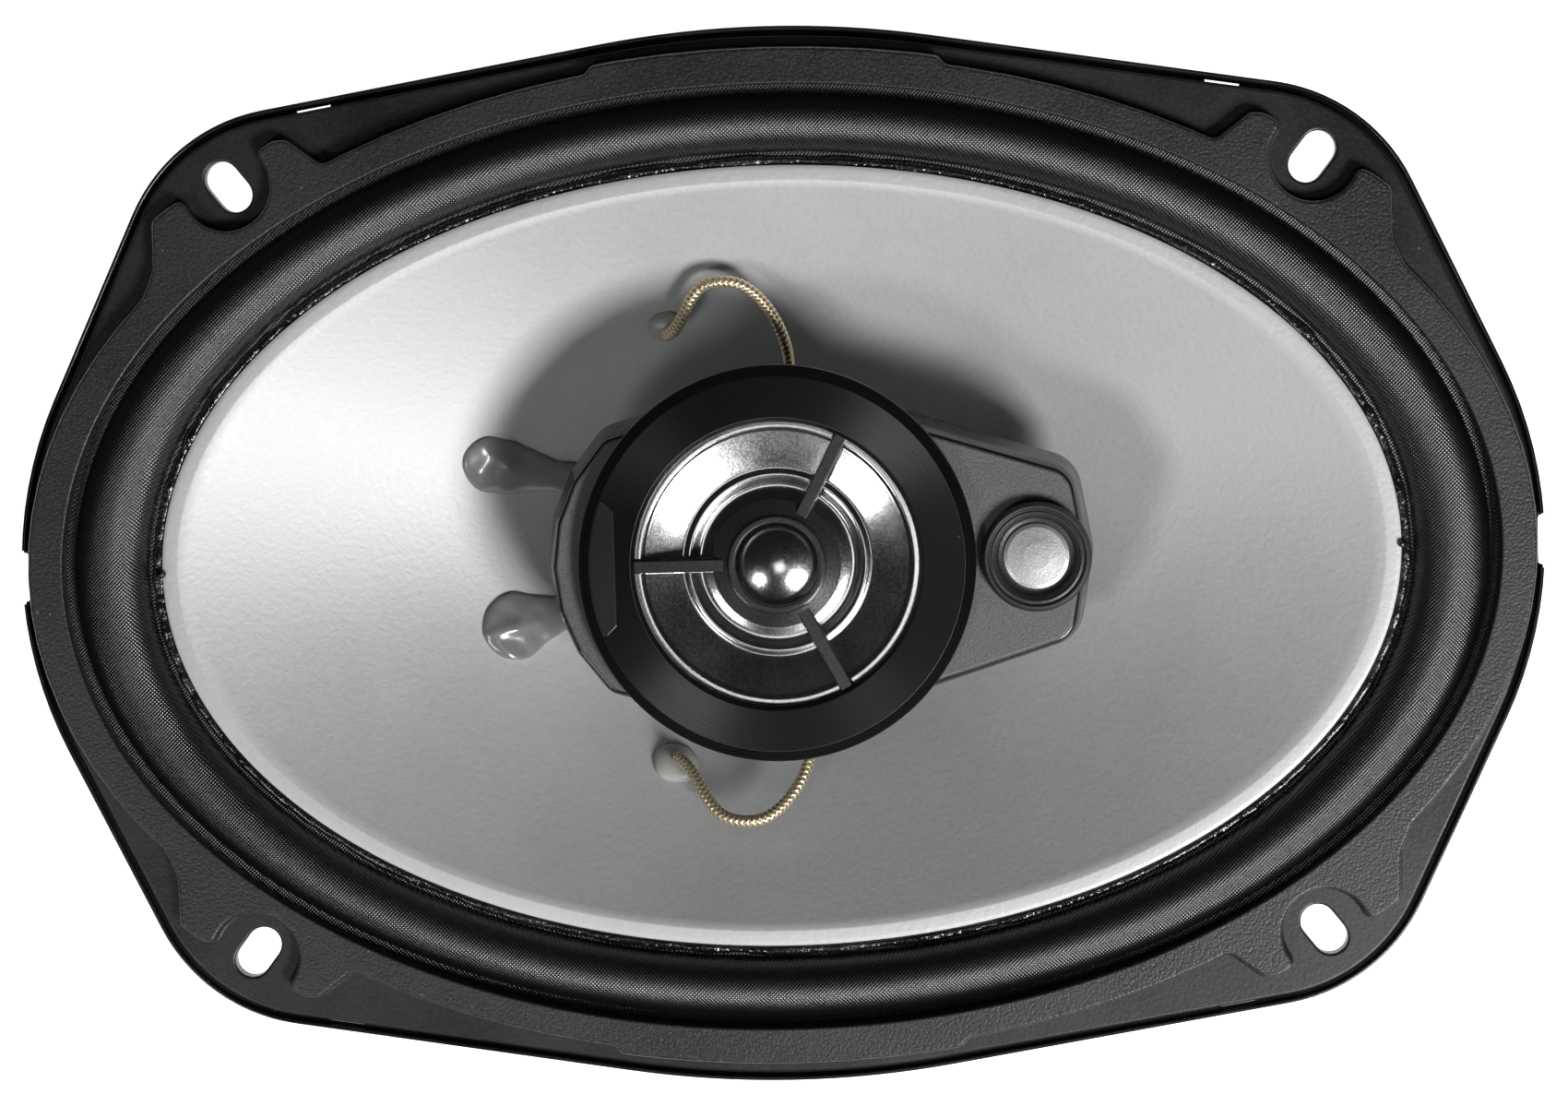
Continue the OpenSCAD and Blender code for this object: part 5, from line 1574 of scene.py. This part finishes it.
@dataclass
class Studio:
    """Pale floor, soft lights, backdrop and camera."""

    floor_z: float = -76.0
    lean: float = 4.82
    turn: float = 1.93
    roll: float = 1.59
    distance: float = 0.6
    lens: float = 87.9

    def build(self) -> None:
        """Builds the stage, the lights and the camera."""
        bpy.context.scene.view_settings.view_transform = "Standard"
        self.floor()
        self.world()
        self.light("key_right", (0.46, -0.5, 0.8), 0.3, 12.0)
        self.light("key_left", (-0.46, -0.46, 0.8), 0.2, 1.9)
        self.light("soft_front", (0.04, -0.14, 0.85), 0.2, 0.2)
        self.camera()

    def floor(self) -> None:
        """Makes the floor: a wide flat square that glows a little, so that it stays pale in shadow."""
        half, z = 4.0, self.floor_z * MM
        mesh = bpy.data.meshes.new("floor")
        mesh.from_pydata([(-half, -half, z), (half, -half, z), (half, half, z), (-half, half, z)], [],
                         [(0, 1, 2, 3)])
        floor = bpy.data.objects.new("floor", mesh)
        bpy.context.scene.collection.objects.link(floor)
        material = bpy.data.materials.new("floor_paper")
        material.use_nodes = True
        shader = next(n for n in material.node_tree.nodes if n.type == "BSDF_PRINCIPLED")
        shader.inputs["Base Color"].default_value = (0.85, 0.85, 0.86, 1)
        shader.inputs["Roughness"].default_value = 0.9
        shader.inputs["Emission Color"].default_value = (1, 1, 1, 1)
        shader.inputs["Emission Strength"].default_value = 1.1
        mesh.materials.append(material)

    def world(self) -> None:
        """Sets a pale backdrop that lights the object only a little."""
        world = bpy.data.worlds.new("studio")
        world.use_nodes = True
        bpy.context.scene.world = world
        kit = NodeKit(world.node_tree)
        ground = next(n for n in world.node_tree.nodes if n.type == "BACKGROUND")
        ground.inputs["Color"].default_value = (1, 1, 1, 1)
        seen = kit.add("ShaderNodeLightPath").outputs["Is Camera Ray"]
        kit.put(ground.inputs["Strength"], kit.maths("MULTIPLY_ADD", seen, 0.99, 0.01))

    def light(self, name: str, place: tuple[float, float, float], size: float, power: float) -> None:
        """Adds a square soft light that faces the object.

        Args:
            name: The light's name.
            place: Where it stands, in metres.
            size: Its side in metres.
            power: Its power in watts.
        """
        data = bpy.data.lights.new(name, "AREA")
        data.shape = "SQUARE"
        data.size = size
        data.energy = power
        lamp = bpy.data.objects.new(name, data)
        lamp.location = place
        lamp.rotation_euler = (-Vector(place)).to_track_quat("-Z", "Y").to_euler()
        bpy.context.scene.collection.objects.link(lamp)

    def camera(self) -> None:
        """Adds the camera: over the front, leaning a little towards +Y and +X, and rolled."""
        th, ph, ro = (math.radians(v) for v in (self.lean, self.turn, self.roll))
        back = Vector((math.sin(ph) * math.cos(th), math.sin(th), math.cos(ph) * math.cos(th)))
        right = Vector((0, 1, 0)).cross(back).normalized()
        up = back.cross(right)
        x = math.cos(ro) * right - math.sin(ro) * up
        y = math.sin(ro) * right + math.cos(ro) * up
        data = bpy.data.cameras.new("camera")
        data.lens = self.lens
        data.sensor_width = 36.0
        data.shift_x, data.shift_y = 0.0032, 0.0031
        data.clip_start, data.clip_end = 0.05, 20.0
        camera = bpy.data.objects.new("camera", data)
        camera.matrix_world = Matrix.Translation(back
                                                 * self.distance) @ Matrix((x, y, back)).transposed().to_4x4()
        bpy.context.scene.collection.objects.link(camera)
        bpy.context.scene.camera = camera


def main() -> None:
    """Builds the loudspeaker and the studio, in order."""
    logging.basicConfig(level=logging.INFO, format="%(name)s: %(message)s")
    shop = PaintShop()
    cone = Cone()
    for assembly in (Basket(), Trim(), cone, Dabs(cone), Leads(cone), Pod(), Motor()):
        assembly.build(shop)
        LOG.info("%s is built", type(assembly).__name__)
    Studio().build()


if __name__ == "__main__":
    main()
